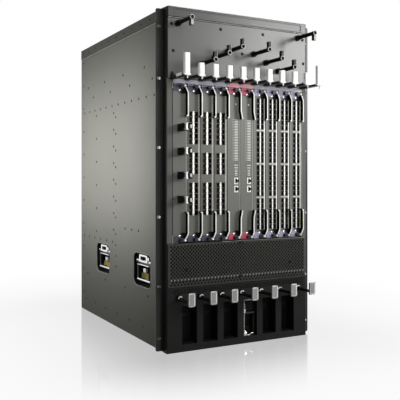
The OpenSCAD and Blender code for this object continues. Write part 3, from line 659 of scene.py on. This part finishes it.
nodeFinishes = {
    "side": ["side_panel_left", "side_panel_right"],
    "cover": ["top_cover", "base_pan"],
    "rear": ["rear_panel"],
    "ear": ["rack_ear_left", "rack_ear_right"],
    "black": ["bay_dividers", "handle_pans"],
    "front": ["front_frame"],
    "blank": ["power_blanks"],
    "rotor": ["fan_rotor_1", "fan_rotor_2", "fan_rotor_3"],
    "panel": ["upper_panel"],
    "bezel": ["top_bezel"],
    "posts": ["cable_posts"],
    "upperComb": ["upper_comb"],
    "lowerComb": ["lower_comb"],
    "rail": ["card_shelves"],
    "board": ["backplane"],
    "filter": ["air_filter"],
    "powerUnit": ["power_unit"],
    "tray": ["fan_tray"],
    "chrome": [name for name in nodes if name.startswith("side_handle")],
    "lever": [name for name in nodes if name.startswith("lever_")],
    "optics": ["plug_optics"],
    "inlets": ["power_entry"],
    "opticCard": ["optic_card_1"],
    "darkCard": ["fibre_card_2", "fibre_card_3", "fibre_card_4"],
    "managerCard": ["manager_card_5", "manager_card_6"],
    "lightCard": ["fibre_card_7", "fibre_card_8", "fibre_card_9", "fibre_card_10"],
}
for finishName, nodeNames in nodeFinishes.items():
    for nodeName in nodeNames:
        slots = nodes[nodeName].material_slots
        if not slots:
            nodes[nodeName].data.materials.append(finishes[finishName])
        for materialSlot in slots:
            materialSlot.material = finishes[finishName]
print("stage: finishes on the CAD pieces")


def spot(x, depth, z):
    # millimetres across, behind the front face and up, as a point in the frame
    return Vector((x * mm, back(depth), z * mm))


def addPiece(name, shape, finish, body, edge=0.0):
    # edge is the rounding of the piece's corners in millimetres
    bmesh.ops.recalc_face_normals(shape, faces=shape.faces)
    mesh = bpy.data.meshes.new(name)
    shape.to_mesh(mesh)
    shape.free()
    for face in mesh.polygons:
        face.use_smooth = True
    mesh.set_sharp_from_angle(angle=math.radians(38))
    mesh.materials.append(finishes[finish])
    piece = bpy.data.objects.new(name, mesh)
    scene.collection.objects.link(piece)
    if edge > 0:
        rounding = piece.modifiers.new("rounding", "BEVEL")
        rounding.width = edge * mm
        rounding.segments = 2
        rounding.limit_method = "ANGLE"
    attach(piece, body)


def addBlock(shape, low, high):
    # a bar between two corners
    corners = list(zip(spot(*low), spot(*high)))
    start, end = (Vector([pick(pair) for pair in corners]) for pick in (min, max))
    size = Matrix.Diagonal((*(end - start), 1))
    bmesh.ops.create_cube(shape, size=1.0, matrix=Matrix.Translation((start + end) / 2) @ size)


def addBars(name, finish, body, bars, edge=0.0):
    # one piece made of bars, each given by two corners
    shape = bmesh.new()
    for low, high in bars:
        addBlock(shape, low, high)
    addPiece(name, shape, finish, body, edge)


def shifted(bars, across, up=0.0):
    # bars given from their own middle, at a place on the front
    return [tuple((x + across, depth, z + up) for x, depth, z in corners) for corners in bars]


def onSide(bars, side, depth):
    # bars given for the right side, at a depth on either side
    return [tuple((side * x, along + depth, z) for x, along, z in corners) for corners in bars]


def bothSides(bars):
    return onSide(bars, -1, 0) + onSide(bars, 1, 0)


def addPrism(shape, corners, near, far):
    # a flat form with corners given across and up, between two depths
    front, rear = ([shape.verts.new(spot(across, depth, z)) for across, z in corners]
                   for depth in (near, far))
    shape.faces.new(front)
    shape.faces.new(rear)
    for index in range(len(corners)):
        after = (index + 1) % len(corners)
        shape.faces.new((front[index], front[after], rear[after], rear[index]))


def addTurned(shape, place, axis, outline, steps=16):
    # a turned form; outline has pairs of distance out from the surface and radius, in millimetres
    turn = Vector(axis).to_track_quat("Z", "Y").to_matrix().to_4x4()
    matrix = Matrix.Translation(place) @ turn
    angles = [math.tau * step / steps for step in range(steps)]
    rings = []
    for along, radius in outline:
        rings.append([shape.verts.new(matrix @ Vector((
            radius * mm * math.cos(angle), radius * mm * math.sin(angle), along * mm))) for angle in angles])
    for lower, upper in zip(rings, rings[1:]):
        for step in range(steps):
            after = (step + 1) % steps
            shape.faces.new((lower[step], lower[after], upper[after], upper[step]))
    shape.faces.new(rings[0])
    shape.faces.new(rings[-1])


def roundedOutline(width, height, radius, steps=5):
    points = []
    for corner, (across, up) in enumerate(((1, 1), (-1, 1), (-1, -1), (1, -1))):
        for step in range(steps + 1):
            angle = math.radians(90 * (corner + step / steps))
            points.append((across * (width / 2 - radius) + radius * math.cos(angle),
                           up * (height / 2 - radius) + radius * math.sin(angle)))
    return points


def frontOutline(across, depth, z, size):
    # a rounded outline that faces the front; size is its width, height and corner radius
    return [spot(across + u, depth, z + v) for u, v in roundedOutline(*size)]


def sideOutline(x, depth, z, size):
    return [spot(x, depth + u, z + v) for u, v in roundedOutline(*size)]


def addRing(shape, outer, inner, lift):
    # a closed band between two outlines with the same number of points, thickened by lift in millimetres
    loops = [[shape.verts.new(point + shift) for point in points]
             for points in (outer, inner) for shift in (Vector((0, 0, 0)), Vector(lift) * mm)]
    count = len(outer)
    for first, second in ((0, 1), (1, 3), (3, 2), (2, 0)):
        for index in range(count):
            after = (index + 1) % count
            shape.faces.new((loops[first][index], loops[first][after],
                             loops[second][after], loops[second][index]))


def screwHead(shape, place, axis, radius, height, steps=12):
    # a domed head with a driver's recess
    addTurned(shape, place, axis, [(-0.3, radius), (height * 0.4, radius), (height * 0.85, radius * 0.8),
                                   (height, radius * 0.5), (height * 0.5, radius * 0.34)], steps)


def addWire(name, points, radius, finish, body):
    curve = bpy.data.curves.new(name, "CURVE")
    curve.dimensions = "3D"
    curve.bevel_depth = radius * mm
    curve.bevel_resolution = 3
    curve.use_fill_caps = True
    spline = curve.splines.new("BEZIER")
    spline.bezier_points.add(len(points) - 1)
    for knot, place in zip(spline.bezier_points, points):
        knot.co = spot(*place)
        knot.handle_left_type = knot.handle_right_type = "AUTO"
    curve.materials.append(finishes[finish])
    wire = bpy.data.objects.new(name, curve)
    scene.collection.objects.link(wire)
    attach(wire, body)


def spread(first, last, count):
    return [first + (last - first) * index / (count - 1) for index in range(count)]


wallX = 219   # the side walls' outer faces, in millimetres across
wallFasteners = {
    "radius": 3.6,
    "rise": 0.5,
    "rows": (   # height, first depth, last depth and how many
        (750, 145, 615, 4), (713, 93, 565, 4), (668, 80, 653, 12), (300, 186, 285, 3), (253, 386, 658, 6),
        (128, 120, 620, 4), (40, 60, 640, 7)),
    "columns": (   # depth, lowest height, highest height and how many
        (533, 275, 650, 6), (378, 290, 645, 8), (361, 278, 632, 8), (361, 180, 245, 3), (662, 60, 840, 11)),
}


def makeWallFasteners():
    look = wallFasteners
    places = [(depth, height) for height, first, last, count in look["rows"]
              for depth in spread(first, last, count)]
    places += [(depth, height) for depth, low, high, count in look["columns"]
               for height in spread(low, high, count)]
    for side, label in ((-1, "left"), (1, "right")):
        shape = bmesh.new()
        for depth, height in places:
            place = spot(side * wallX, depth, height)
            screwHead(shape, place, (side, 0, 0), look["radius"], look["rise"])
        addPiece("wall_fasteners_" + label, shape, "screwDark", "chassis")


coverFasteners = {
    "radius": 3.2,
    "rise": 0.5,
    "height": 871.5,
    "depths": (42, 668, 11),      # first, last and how many
    "top": 885.5,
    # depths of the rows across the top and places of the columns along it, then first, last and how many
    "topRows": ((34, 676), (-200, 200, 6)),
    "topColumns": ((-208, 208), (110, 600, 7)),
    "topHead": ((0, 3), (0.42, 3), (0.42, 2), (0.2, 1)),
    "edgeDepths": (24, 688),
    "seam": (857.2, 858.6),
    "fold": (855.0, 857.0),
}


def makeCoverFasteners():
    look = coverFasteners
    shape = bmesh.new()
    for depth in spread(*look["depths"]):
        for side in (-1, 1):
            place = spot(side * bodyHalf, depth, look["height"])
            screwHead(shape, place, (side, 0, 0), look["radius"], look["rise"])
    addPiece("cover_side_fasteners", shape, "screwDark", "chassis")
    shape = bmesh.new()
    rows, along = look["topRows"]
    columns, depths = look["topColumns"]
    places = [(across, depth) for depth in rows for across in spread(*along)]
    places += [(across, depth) for depth in spread(*depths) for across in columns]
    for across, depth in places:
        addTurned(shape, spot(across, depth, look["top"]), (0, 0, 1), look["topHead"])
    addPiece("cover_top_fasteners", shape, "screwDark", "chassis")
    # the seam above the cover's folded edge, and the edge itself, on both sides
    start, end = look["edgeDepths"]
    for label, finish in (("seam", "blackLine"), ("fold", "rim")):
        low, high = look[label]
        bar = ((bodyHalf - 1.2, start, low), (bodyHalf + 0.2, end, high))
        addBars("cover_" + label, finish, "chassis", bothSides([bar]))


earEdges = {"width": 1.1, "rise": 0.3, "depth": 45.3, "heights": (6, 855)}


def makeEarEdges():
    # the bright turned edge of the wall where it meets the ear's leg
    look = earEdges
    low, high = look["heights"]
    rear = look["depth"] + look["width"]
    bar = ((wallX - 0.1, look["depth"], low), (wallX + look["rise"], rear, high))
    addBars("ear_leg_edges", "side", "chassis", bothSides([bar]))


slotPlates = {
    "bright": (7, 11, 15),   # rows counted from the lowest
    "dull": (0, 3, 18),
    "unit": 44.45,
    "first": 36.6,
    "plate": ((220.8, 24, -6), (221.5, 44, 6)),
}


def makeSlotPlates():
    # pale plates behind some rack slots, painted as the light seen through them, and dark grey ones behind
    # the others
    look = slotPlates
    for label, finish in (("bright", "whitePart"), ("dull", "screwGrey")):
        bars = []
        for row in look[label]:
            bars += bothSides(shifted([look["plate"]], 0, look["first"] + row * look["unit"]))
        addBars("slot_plates_" + label, finish, "chassis", bars, edge=0.3)


postTips = {
    "places": ((41, 785), (81.5, 765), (122, 745), (189, 844)),
    "front": -80.3,
    "ring": ((-0.6, 6.45), (0.3, 6.4), (0.5, 6.0), (0.5, 4.8), (0.1, 4.6)),
    "hole": ((0, 4.65), (0.15, 4.5), (0.15, 0.4)),
    # from a post's middle: a pale bar painted as the highlight on the right edge of an inner post's tab, and
    # the face of an outer one's
    "innerTab": ((2.9, -80.9, 6), (3.9, -80.2, 19.5)),
    "outerTab": ((-3.4, -80.9, -19.4), (3.4, -80.2, -7)),
}


def makePostTips():
    look = postTips
    rings, holes = bmesh.new(), bmesh.new()
    for across, height in look["places"]:
        for side in (-1, 1):
            place = spot(side * across, look["front"], height)
            addTurned(rings, place, (0, -1, 0), look["ring"], 24)
            addTurned(holes, place, (0, -1, 0), look["hole"], 20)
    addPiece("post_tip_rings", rings, "paleMark", "chassis")
    addPiece("post_tip_holes", holes, "blackLine", "chassis")
    tabs = [look["innerTab"]] * 3 + [look["outerTab"]]
    bars = []
    for side in (-1, 1):
        for (across, height), tab in zip(look["places"], tabs):
            bars += shifted([tab], side * across, height)
    addBars("post_tab_edges", "paleMark", "chassis", bars, edge=0.2)


panelScrews = {
    "radius": 3.4,
    "rise": 1.4,
    "collar": ((-0.3, 4.3), (0.5, 4.2), (0.5, 2)),
    "places": ((-62, 842), (72, 842), (207, 840), (-202, 773), (5, 783), (210, 773), (-207, 842),
               (-205, 716), (208, 716)),
}


def makePanelScrews():
    look = panelScrews
    shape = bmesh.new()
    for across, height in look["places"]:
        place = spot(across, 0, height)
        addTurned(shape, place, (0, -1, 0), look["collar"])
        screwHead(shape, place, (0, -1, 0), look["radius"], look["rise"])
    addPiece("upper_panel_screws", shape, "screwGrey", "chassis")


bezelTrim = {
    "middle": 871.5,
    "frame": ((403, 21, 4), (399, 17, 2.6)),   # width, height and corner radius, outside and inside
    "lines": (((-216, -2.9, 857.3), (216, -2.4, 858.1)), ((-216, -2.4, 884.6), (216, -1.9, 885.3)),
              ((30, -0.2, 866.6), (196, 0.3, 867.2))),
    "seam": ((-216.4, 859.3), (216.4, 859.3), (217, 860.6), (-217, 860.6)),
}


def makeBezelTrim():
    look = bezelTrim
    outer, inner = (frontOutline(0, 0.1, look["middle"], size) for size in look["frame"])
    shape = bmesh.new()
    addRing(shape, outer, inner, (0, -1.5, 0))
    addPiece("bezel_frame", shape, "bezel", "chassis", edge=0.25)
    addBars("bezel_lines", "paleMark", "chassis", look["lines"], edge=0.2)
    shape = bmesh.new()
    addPrism(shape, look["seam"], -1.3, -0.95)
    addPiece("bezel_seam", shape, "blackLine", "chassis")


combTrim = {
    "fingers": 11,
    "ribs": (((-1.1, -83.4, 691.6), (1.1, -80.6, 701.5)), ((-5, -82.5, 698.7), (5, -79.5, 700.7))),
    "tick": ((5.2, -2.9, 702.5), (6.6, -1.9, 712.5)),
    # white bars painted as the highlight on the first arm's lip
    "endHighlight": (((-211.3, -64, 700.8), (-210.5, -36, 708.4)),
                 ((-211.3, -64, 700.8), (-209.2, -36, 701.6))),
}


def makeCombTrim():
    look = combTrim
    ribs, ticks = [], []
    for index in range(look["fingers"]):
        across = (index - 5) * slotEdge
        ribs += shifted(look["ribs"], across)
        ticks += shifted([look["tick"]], across)
    addBars("comb_ribs", "whitePart", "chassis", ribs, edge=0.4)
    addBars("comb_root_ticks", "paleMark", "chassis", ticks, edge=0.3)
    # painted highlight on the first arm's lip
    addBars("comb_end_highlight", "whitePart", "chassis", look["endHighlight"], edge=0.3)


lowerCombTrim = {
    "fingers": 7,
    "front": -73.4,
    # middle, then width, height and corner radius, of the rim's outside and inside
    "rim": (((0, 147.3), (17.4, 32.4, 1.6)), ((-0.6, 146.9), (13.6, 29.4, 1.2))),
    # bars painted as the highlight on each tab's right and top edges
    "rimHighlights": (((5.4, -74, 132.4), (8.7, -73.5, 163)), ((-8.2, -74, 160.4), (8.7, -73.5, 163.4))),
    "discHighlight": ((1.6, 139, 6.8), (1.5, 137.5, 5.5)),   # middle and radius of the outer and the inner curve
    "discHighlightAngles": (40, 190, 11),
}


def makeLowerCombTrim():
    look = lowerCombTrim
    rims, discHighlights = bmesh.new(), bmesh.new()
    for index in range(look["fingers"]):
        across = (index - 3) * bayPitch
        # painted highlight: a pale rim round each tab, widest on its right and top edges where the light
        # falls
        outer, inner = (frontOutline(across + x, look["front"], z, size) for (x, z), size in look["rim"])
        addRing(rims, outer, inner, (0, -0.4, 0))
        for low, high in shifted(look["rimHighlights"], across):
            addBlock(rims, low, high)
        # painted highlight: a bright crescent over the top of the finger's root disc
        angles = [math.radians(angle) for angle in spread(*look["discHighlightAngles"])]
        outer, inner = ([(across + x + radius * math.cos(angle), z + radius * math.sin(angle))
                         for angle in angles] for x, z, radius in look["discHighlight"])
        addPrism(discHighlights, outer + inner[::-1], -7.5, -7.0)
    addPiece("lower_comb_rim_highlights", rims, "whitePart", "chassis")
    addPiece("root_disc_highlights", discHighlights, "whitePart", "chassis")


cageTrim = {
    "seam": (((-204.6, -0.35, 284), (-203.3, 0.4, 701)), ((-203, -0.35, 689.8), (203, 0.2, 690.7))),
    "corners": (((-204.4, -1.2, 676), (-202.9, -0.2, 690)), ((-204.4, -1.2, 282.5), (-202.9, -0.2, 301)),
                ((-204.4, -1.2, 281.2), (-188.5, -0.2, 282.6)), ((203.4, -0.9, 284), (204.3, -0.2, 700))),
    "railEdge": ((-203.4, 701.3), (203.4, 701.3), (202.8, 702), (-202.8, 702)),
}


def makeCageTrim():
    look = cageTrim
    addBars("cage_seam", "blackLine", "chassis", look["seam"])
    addBars("cage_corner_marks", "whitePart", "chassis", look["corners"], edge=0.3)
    shape = bmesh.new()
    addPrism(shape, look["railEdge"], -0.5, 0.1)
    addPiece("rail_top_edge", shape, "paleMark", "chassis", edge=0.2)


cardTrim = {
    # the speckled strip at the right of each kind of card, its finish, and where the dark seam starts
    "gaskets": {"plain": (16.9, 19.1, "paleStrip", 19.2), "fibre": (11.7, 16.4, "paleStrip", 19.2),
                "wide": (13.2, 17.4, "brightStrip", 18.4)},
    "gasketRow": (304.5, 8.3, 7.6, 44),   # lowest edge, pitch, length and how many
    "seamEnd": (20.05, 303, 669),         # right edge, and lower and upper ends
    "tabs": (-1.9, -0.9, 3.2),            # front, back and half the height
    # two springs in each port, from the bright strip's left edge
    "springs": (((-7, 2, 3.8), (-2.2, 15, 4.4)), ((-1.4, 2, -4.5), (-0.9, 14, 1.5))),
    "groupBar": ((-10.5, -1.7, -0.9), (13, -0.1, 0.9)),
    "groupHeights": (395, 486.5, 578),
    "contact": ((4.3, 5, 0), (5.2, 12, 0.5)),
    # the frame around a jack, open on the right for the plug's latch
    "jackFrame": ((11.8, 3), (11.8, 8.6), (0.4, 8.6), (-0.4, 7.8), (-0.4, -7.8), (0.4, -8.6), (11.8, -8.6),
                  (11.8, -3), (8.8, -3), (8.8, -5.9), (2.9, -5.9), (2.9, 5.9), (8.8, 5.9), (8.8, 3)),
    "lamp": ((-0.2, 1.9), (0.4, 1.9), (0.7, 1.0), (0.7, 0.4)),
    # a pale strip painted as the highlight along each pad's top edge
    "padTopHighlight": ((-19, 685.8), (-18.3, 685.8), (-18.3, 687.2), (-4, 687.2), (-4.6, 688), (-19, 688)),
    "thumbscrews": (684.5, 287.5),
    "screwCap": ((0, 3.0), (1.2, 3.0), (2.2, 2.2), (2.4, 1.0)),
    # a small bright disc painted as a glint on each pad
    "padGlint": ((0, 2.4), (0.5, 2.4), (0.9, 1.6), (1.0, 0.4)),
    "tag": (3.8, 16, 1.2),                # width, height and corner radius
}


def slotX(slot):
    return (slot - 5.5) * slotEdge


def makeFibreTrim(slot, ports, body):
    # small spring tabs beside the bright strip, and the springs in each cage of the left column
    left, right = (slotX(slot) + edge for edge in ports["strip"])
    near, far, half = cardTrim["tabs"]
    reach = ports["tab"]
    tabs, springs = [], []
    for lowest, count in ports["groups"]:
        for index in range(count):
            middle = lowest + (index + 0.5) * cardPorts["pitch"]
            tabs += [((edge, near, middle - half), (edge + out, far, middle + half))
                     for edge, out in ((left, -reach), (right, reach))]
            springs += shifted(cardTrim["springs"], left, middle)
    addBars("cage_tabs_%d" % slot, "whitePart", body, tabs, edge=0.2)
    addBars("cage_springs_%d" % slot, ports["spring"], body, springs, edge=0.15)


def makeGasket(slot, kind, body):
    across = slotX(slot)
    low, high, finish, seam = cardTrim["gaskets"][kind]
    first, pitch, length, count = cardTrim["gasketRow"]
    bars = [((across + low, -0.7, start), (across + high, 0.3, start + length))
            for start in (first + index * pitch for index in range(count))]
    addBars("gasket_%d" % slot, finish, body, bars, edge=0.3)
    right, bottom, top = cardTrim["seamEnd"]
    addBars("face_edge_%d" % slot, "blackLine", body,
            [((across + seam, -0.35, bottom), (across + right, 0.2, top))])


def makeGroupBars(slot, body):
    bars = []
    for height in cardTrim["groupHeights"]:
        bars += shifted([cardTrim["groupBar"]], slotX(slot), height)
    addBars("group_bars_%d" % slot, "brightStrip", body, bars, edge=0.3)


statusLadder = {
    "middle": 6.2,
    "rungs": (((-5.2, -0.6, -0.7), (5.4, 0.2, 0.7)), ((-10.6, -0.4, -0.3), (-7.6, 0.2, 0.3))),
    "rungRow": (496, 4.32, 26),   # lowest rung, pitch and how many
    "pairs": (((-5, -0.6, -1), (-0.8, 0.2, 1)), ((1, -0.6, -1), (5, 0.2, 1))),
    "pairHeights": (482, 475),
    "dashes": (((-4, -0.6, -0.7), (4, 0.2, 0.7)),),
    "dashHeights": (469, 464.5, 460, 455.5),
}


def makeManagerTrim(slot, body):
    # the ladder of status marks, a small lamp, and the two jacks with their contacts
    look = statusLadder
    across = slotX(slot)
    centre = across + look["middle"]
    first, pitch, count = look["rungRow"]
    rows = [("rungs", first + index * pitch) for index in range(count)]
    rows += [("pairs", height) for height in look["pairHeights"]]
    rows += [("dashes", height) for height in look["dashHeights"]]
    marks = [bar for label, height in rows for bar in shifted(look[label], centre, height)]
    addBars("status_ladder_%d" % slot, "brightStrip", body, marks, edge=0.2)
    shape = bmesh.new()
    addTurned(shape, spot(centre - 1, 0, 646), (0, -1, 0), cardTrim["lamp"])
    contacts = []
    for height in cardPorts["jacks"]:
        addPrism(shape, [(across + u, height + v) for u, v in cardTrim["jackFrame"]], -1.6, -1)
        for contact in range(8):
            contacts += shifted([cardTrim["contact"]], across, height - 3.9 + contact * 1.1)
    addPiece("jack_frames_%d" % slot, shape, "whitePart", body)
    addBars("jack_contacts_%d" % slot, "copper", body, contacts, edge=0.1)


def makePinCapsAndHighlights(slot, body):
    # bright caps beside each thumbscrew, a small disc painted as a glint on the pad, and a strip painted as
    # the highlight along the pad's top edge
    across = slotX(slot)
    shape = bmesh.new()
    for height in cardTrim["thumbscrews"]:
        addTurned(shape, spot(across + 12.4, -2.4, height), (0, -1, 0), cardTrim["screwCap"])
        # painted glint: a small bright disc on the pad beside the thumbscrew
        inner = height + math.copysign(11.5, cardMiddle - height)
        addTurned(shape, spot(across - 3.4, -4, inner), (0, -1, 0), cardTrim["padGlint"], 12)
    addPiece("pin_caps_and_glints_%d" % slot, shape, "bright", body)
    shape = bmesh.new()
    # painted highlight along the pad's top edge
    addPrism(shape, [(across + u, z) for u, z in cardTrim["padTopHighlight"]], -4.3, -3.9)
    addPiece("pad_top_highlight_%d" % slot, shape, "whitePart", body)


leverTrim = {
    # the outline of a black plate that stands in for the shadow below each pad
    "rootShade": ((11, 682.5), (0.5, 667.5), (2, 665), (17, 665)),
    "rootShadeDepths": (-5.2, -4.3),
    "head": ((0, 3.3), (5.6, 3.3), (6.6, 2.4), (6.9, 1)),
    "pin": (8.4, -9, 683.6),
}


def makeLeverTrim(slot, end):
    # a black plate at a lever's root, put there as painted shadow below the pad, and the bright head on its
    # pin
    look = leverTrim
    across = slotX(slot)
    body = "lever_%s_%d_body" % (end, slot)

    def up(height):
        return height if end == "top" else 2 * cardMiddle - height
    shape = bmesh.new()
    addPrism(shape, [(across + u, up(z)) for u, z in look["rootShade"]], *look["rootShadeDepths"])
    addPiece("lever_root_shade_%s_%d" % (end, slot), shape, "blank", body)
    shape = bmesh.new()
    x, depth, height = look["pin"]
    addTurned(shape, spot(across + x, depth, up(height)), (0, -1, 0), look["head"], 18)
    addPiece("lever_pin_head_%s_%d" % (end, slot), shape, "whitePart", body)


def makeCardTrim():
    for slot in range(1, 11):
        body = "card_%d" % slot
        makeLeverTrim(slot, "top")
        makeLeverTrim(slot, "low")
        kind = "plain" if slot in (1, 5, 6) else "fibre" if slot < 5 else "wide"
        makeGasket(slot, kind, body)
        makePinCapsAndHighlights(slot, body)
        if kind != "plain":
            makeFibreTrim(slot, cardPorts[kind], body)
        if kind == "wide":
            makeGroupBars(slot, body)
        if slot in (5, 6):
            makeManagerTrim(slot, body)
    # the tag on the last card's lower end
    shape = bmesh.new()
    across = slotX(10) + 15.3
    corners = [(across + u, 326 + v) for u, v in roundedOutline(*cardTrim["tag"])]
    addPrism(shape, corners, -1.4, -0.3)
    addPiece("card_tag", shape, "yellowTag", "card_10", edge=0.3)


opticTrim = {
    "heights": (393, 454.5, 516, 577),
    "bail": (((-8.4, -47, 5.6), (-7.6, -38, 9)), ((-8.4, -47, -9), (-7.6, -38, -5.6))),
    "cap": ((2.4, -54.6, -4.4), (6, -50, 4.4)),
}


def makeOpticTrim():
    # the pull tab's two arms and the pale end of each plug-in optic
    bails, caps = [], []
    for height in opticTrim["heights"]:
        bails += shifted(opticTrim["bail"], slotX(1), height)
        caps += shifted([opticTrim["cap"]], slotX(1), height)
    addBars("optic_bails", "bright", "card_1", bails, edge=0.35)
    addBars("optic_caps", "whitePart", "card_1", caps, edge=0.5)


filterTrim = {
    "dotPitch": 9.9,
    "dotPlace": (-1.3, 186),
    "dot": ((-0.2, 1.5), (0.3, 1.5), (0.5, 0.5)),
    "edges": (((-60, -0.95, 278.7), (216, -0.5, 279.5)), ((215.6, -0.95, 170), (216.3, -0.5, 279))),
}


def makeFilterTrim():
    # pale dots painted as the glints along the filter's fold, and pale bars painted as the highlight on its
    # top and right edges
    look = filterTrim
    shape = bmesh.new()
    for index in range(-21, 22):
        if index:   # the middle one is under the door's catch
            place = spot(index * look["dotPitch"], *look["dotPlace"])
            addTurned(shape, place, (0, -1, 0), look["dot"], 10)
    addPiece("filter_fold_glints", shape, "paleMark", "filter_door")
    addBars("filter_top_highlight", "paleMark", "filter_door", look["edges"], edge=0.15)


powerTrim = {
    "frame": (((10.6, -0.5, 19), (12.6, 2, 117.4)), ((10.6, -0.5, 115.8), (45, 2, 117.6))),
    "block": (((10.4, -1.2, 82), (15.2, 2, 93)), ((12.4, 0, 104), (14.6, 2, 105.6)),
              ((12.4, 0, 99), (15.6, 2, 100.6)), ((12.4, 0, 95), (14.6, 2, 96.6))),
    "knob": ((0, 5.4), (3.4, 5.4), (3.8, 4.6), (7.6, 4.2), (8.2, 3.2), (8.2, 1.6), (7.0, 1.2)),
    "knobPlace": (18, 10, 27),
    "wire": 0.9,
    "wirePath": ((13, 4.4, 20.4), (23, 3.2, 21.2), (29, 2.6, 20.6), (36, 2.4, 25), (44, 3.4, 24.6),
                 (48, 6.4, 23.4)),
    "screw": ((-0.2, 2.2), (0.7, 2.0), (0.9, 1.2), (0.4, 0.7)),
    "screwHeights": (97, 84),
    "endScrews": ((-196, 92), (196, 92)),
}


def makePowerTrim():
    look = powerTrim
    unit = "power_unit_body"
    addBars("unit_bright_frame", "paleMark", unit, look["frame"], edge=0.3)
    addBars("unit_light_block", "whitePart", unit, look["block"], edge=0.5)
    shape = bmesh.new()
    addTurned(shape, spot(*look["knobPlace"]), (0, -1, 0), look["knob"], 20)
    addPiece("unit_knob", shape, "bright", unit)
    addWire("unit_wire", look["wirePath"], look["wire"], "bright", unit)
    shape = bmesh.new()
    places = [((edge - 2) * bayPitch, height) for edge in range(5) for height in look["screwHeights"]]
    for across, height in (*places, *look["endScrews"]):
        addTurned(shape, spot(across, 0, height), (0, -1, 0), look["screw"], 10)
    addPiece("bay_divider_screws", shape, "screwGrey", "chassis")


handleTrim = {
    "depths": (160.5, 470.5),
    "height": 194,
    # width, height and corner radius, outside and inside; the bracket's after its middle's height
    "rim": ((124.4, 94.4, 22.2), (120.4, 90.4, 20)),
    "bracket": ((226, (54, 20, 5)), (225, (38, 11, 3))),
    "bracketX": 215.2,
    # bars for the right side, from the handle's middle
    "bracketBars": (((210, -38, 223), (216, -28, 231)), ((210, -24, 214.5), (216, 31, 217.5))),
    "white": (((185, 42, 177.3), (185.8, 59.3, 190)), ((185, 58.9, 177.3), (189.6, 59.6, 190))),
    "yellow": (((185, 32, 159.5), (185.8, 59.3, 177)), ((185, 58.9, 159.5), (194.5, 59.6, 177))),
}


def makeHandleTrim():
    look = handleTrim
    rims, brackets, bolts, patches, tags = (bmesh.new() for _ in range(5))
    for side in (-1, 1):
        for depth in look["depths"]:
            edge = side * (wallX - 0.4)
            outer, inner = (sideOutline(edge, depth, look["height"], size) for size in look["rim"])
            addRing(rims, outer, inner, (side * 0.9, 0, 0))
            across = side * look["bracketX"]
            outer, inner = (sideOutline(across, depth, z, size) for z, size in look["bracket"])
            addRing(brackets, outer, inner, (side * 1.2, 0, 0))
            screwHead(bolts, spot(across, depth, 225), (side, 0, 0), 5.4, 2.4, 6)
            for shape, label in ((brackets, "bracketBars"), (patches, "white"), (tags, "yellow")):
                for low, high in onSide(look[label], side, depth):
                    addBlock(shape, low, high)
    addPiece("dish_rims", rims, "rim", "chassis", edge=0.3)
    addPiece("handle_brackets", brackets, "bracket", "chassis", edge=0.8)
    addPiece("handle_bracket_bolts", bolts, "screwDark", "chassis")
    addPiece("dish_white_patches", patches, "bracket", "chassis", edge=0.3)
    addPiece("dish_yellow_patches", tags, "yellowPatch", "chassis", edge=0.3)


rearTrim = {
    # the cover's screws in two columns and two rows: places, depth, then first, last and how many
    "columns": ((-192, 192), 688.1, (175, 665, 7)),
    "rows": ((8, 870), 686.8, (-210, 210, 5)),
    "fanX": (-132, 0, 132),
    "fanZ": 780,
    "guardScrew": 52,   # across and up from a fan's middle
    "inletZ": 68,
    "inletRim": ((28.5, 23.5, 4), (25, 20, 2.5)),   # width, height and corner radius, outside and inside
    "hubRing": ((0, 20), (0.5, 20), (0.7, 19), (0.7, 12), (0.4, 11.4), (0.4, 5.2)),
}


def makeRearTrim():
    look = rearTrim
    outward = (0, 1, 0)
    shape = bmesh.new()
    columns, depth, heights = look["columns"]
    places = [(across, depth, height) for across in columns for height in spread(*heights)]
    rows, depth, along = look["rows"]
    places += [(across, depth, height) for across in spread(*along) for height in rows]
    for place in places:
        screwHead(shape, spot(*place), outward, 2.8, 1.2)
    addPiece("rear_cover_screws", shape, "screwDark", "chassis")
    shape = bmesh.new()
    offsets = (-look["guardScrew"], look["guardScrew"])
    for across in look["fanX"]:
        for u in offsets:
            for v in offsets:
                screwHead(shape, spot(across + u, 689.6, look["fanZ"] + v), outward, 3.2, 1.6)
    addPiece("fan_guard_screws", shape, "screwDark", "fan_tray_body")
    shape = bmesh.new()
    for step in range(6):
        across = (step - 2.5) * bayPitch
        for side in (-1, 1):
            screwHead(shape, spot(across + side * 20, 689, look["inletZ"]), outward, 2.6, 1.2)
        outer, inner = (frontOutline(across, 688.9, look["inletZ"], size) for size in look["inletRim"])
        addRing(shape, outer, inner, (0, 0.9, 0))
    addPiece("inlet_rims", shape, "screwGrey", "chassis")
    for fan, across in enumerate(look["fanX"], 1):
        shape = bmesh.new()
        addTurned(shape, spot(across, 660.9, look["fanZ"]), outward, look["hubRing"], 28)
        addPiece("hub_ring_%d" % fan, shape, "screwGrey", "fan_rotor_%d_body" % fan)


for make in (makeWallFasteners, makeCoverFasteners, makeEarEdges, makeSlotPlates, makePostTips,
             makePanelScrews, makeBezelTrim, makeCombTrim, makeLowerCombTrim, makeCageTrim, makeCardTrim,
             makeOpticTrim, makeFilterTrim, makePowerTrim, makeHandleTrim, makeRearTrim):
    make()
    print("stage:", make.__name__)
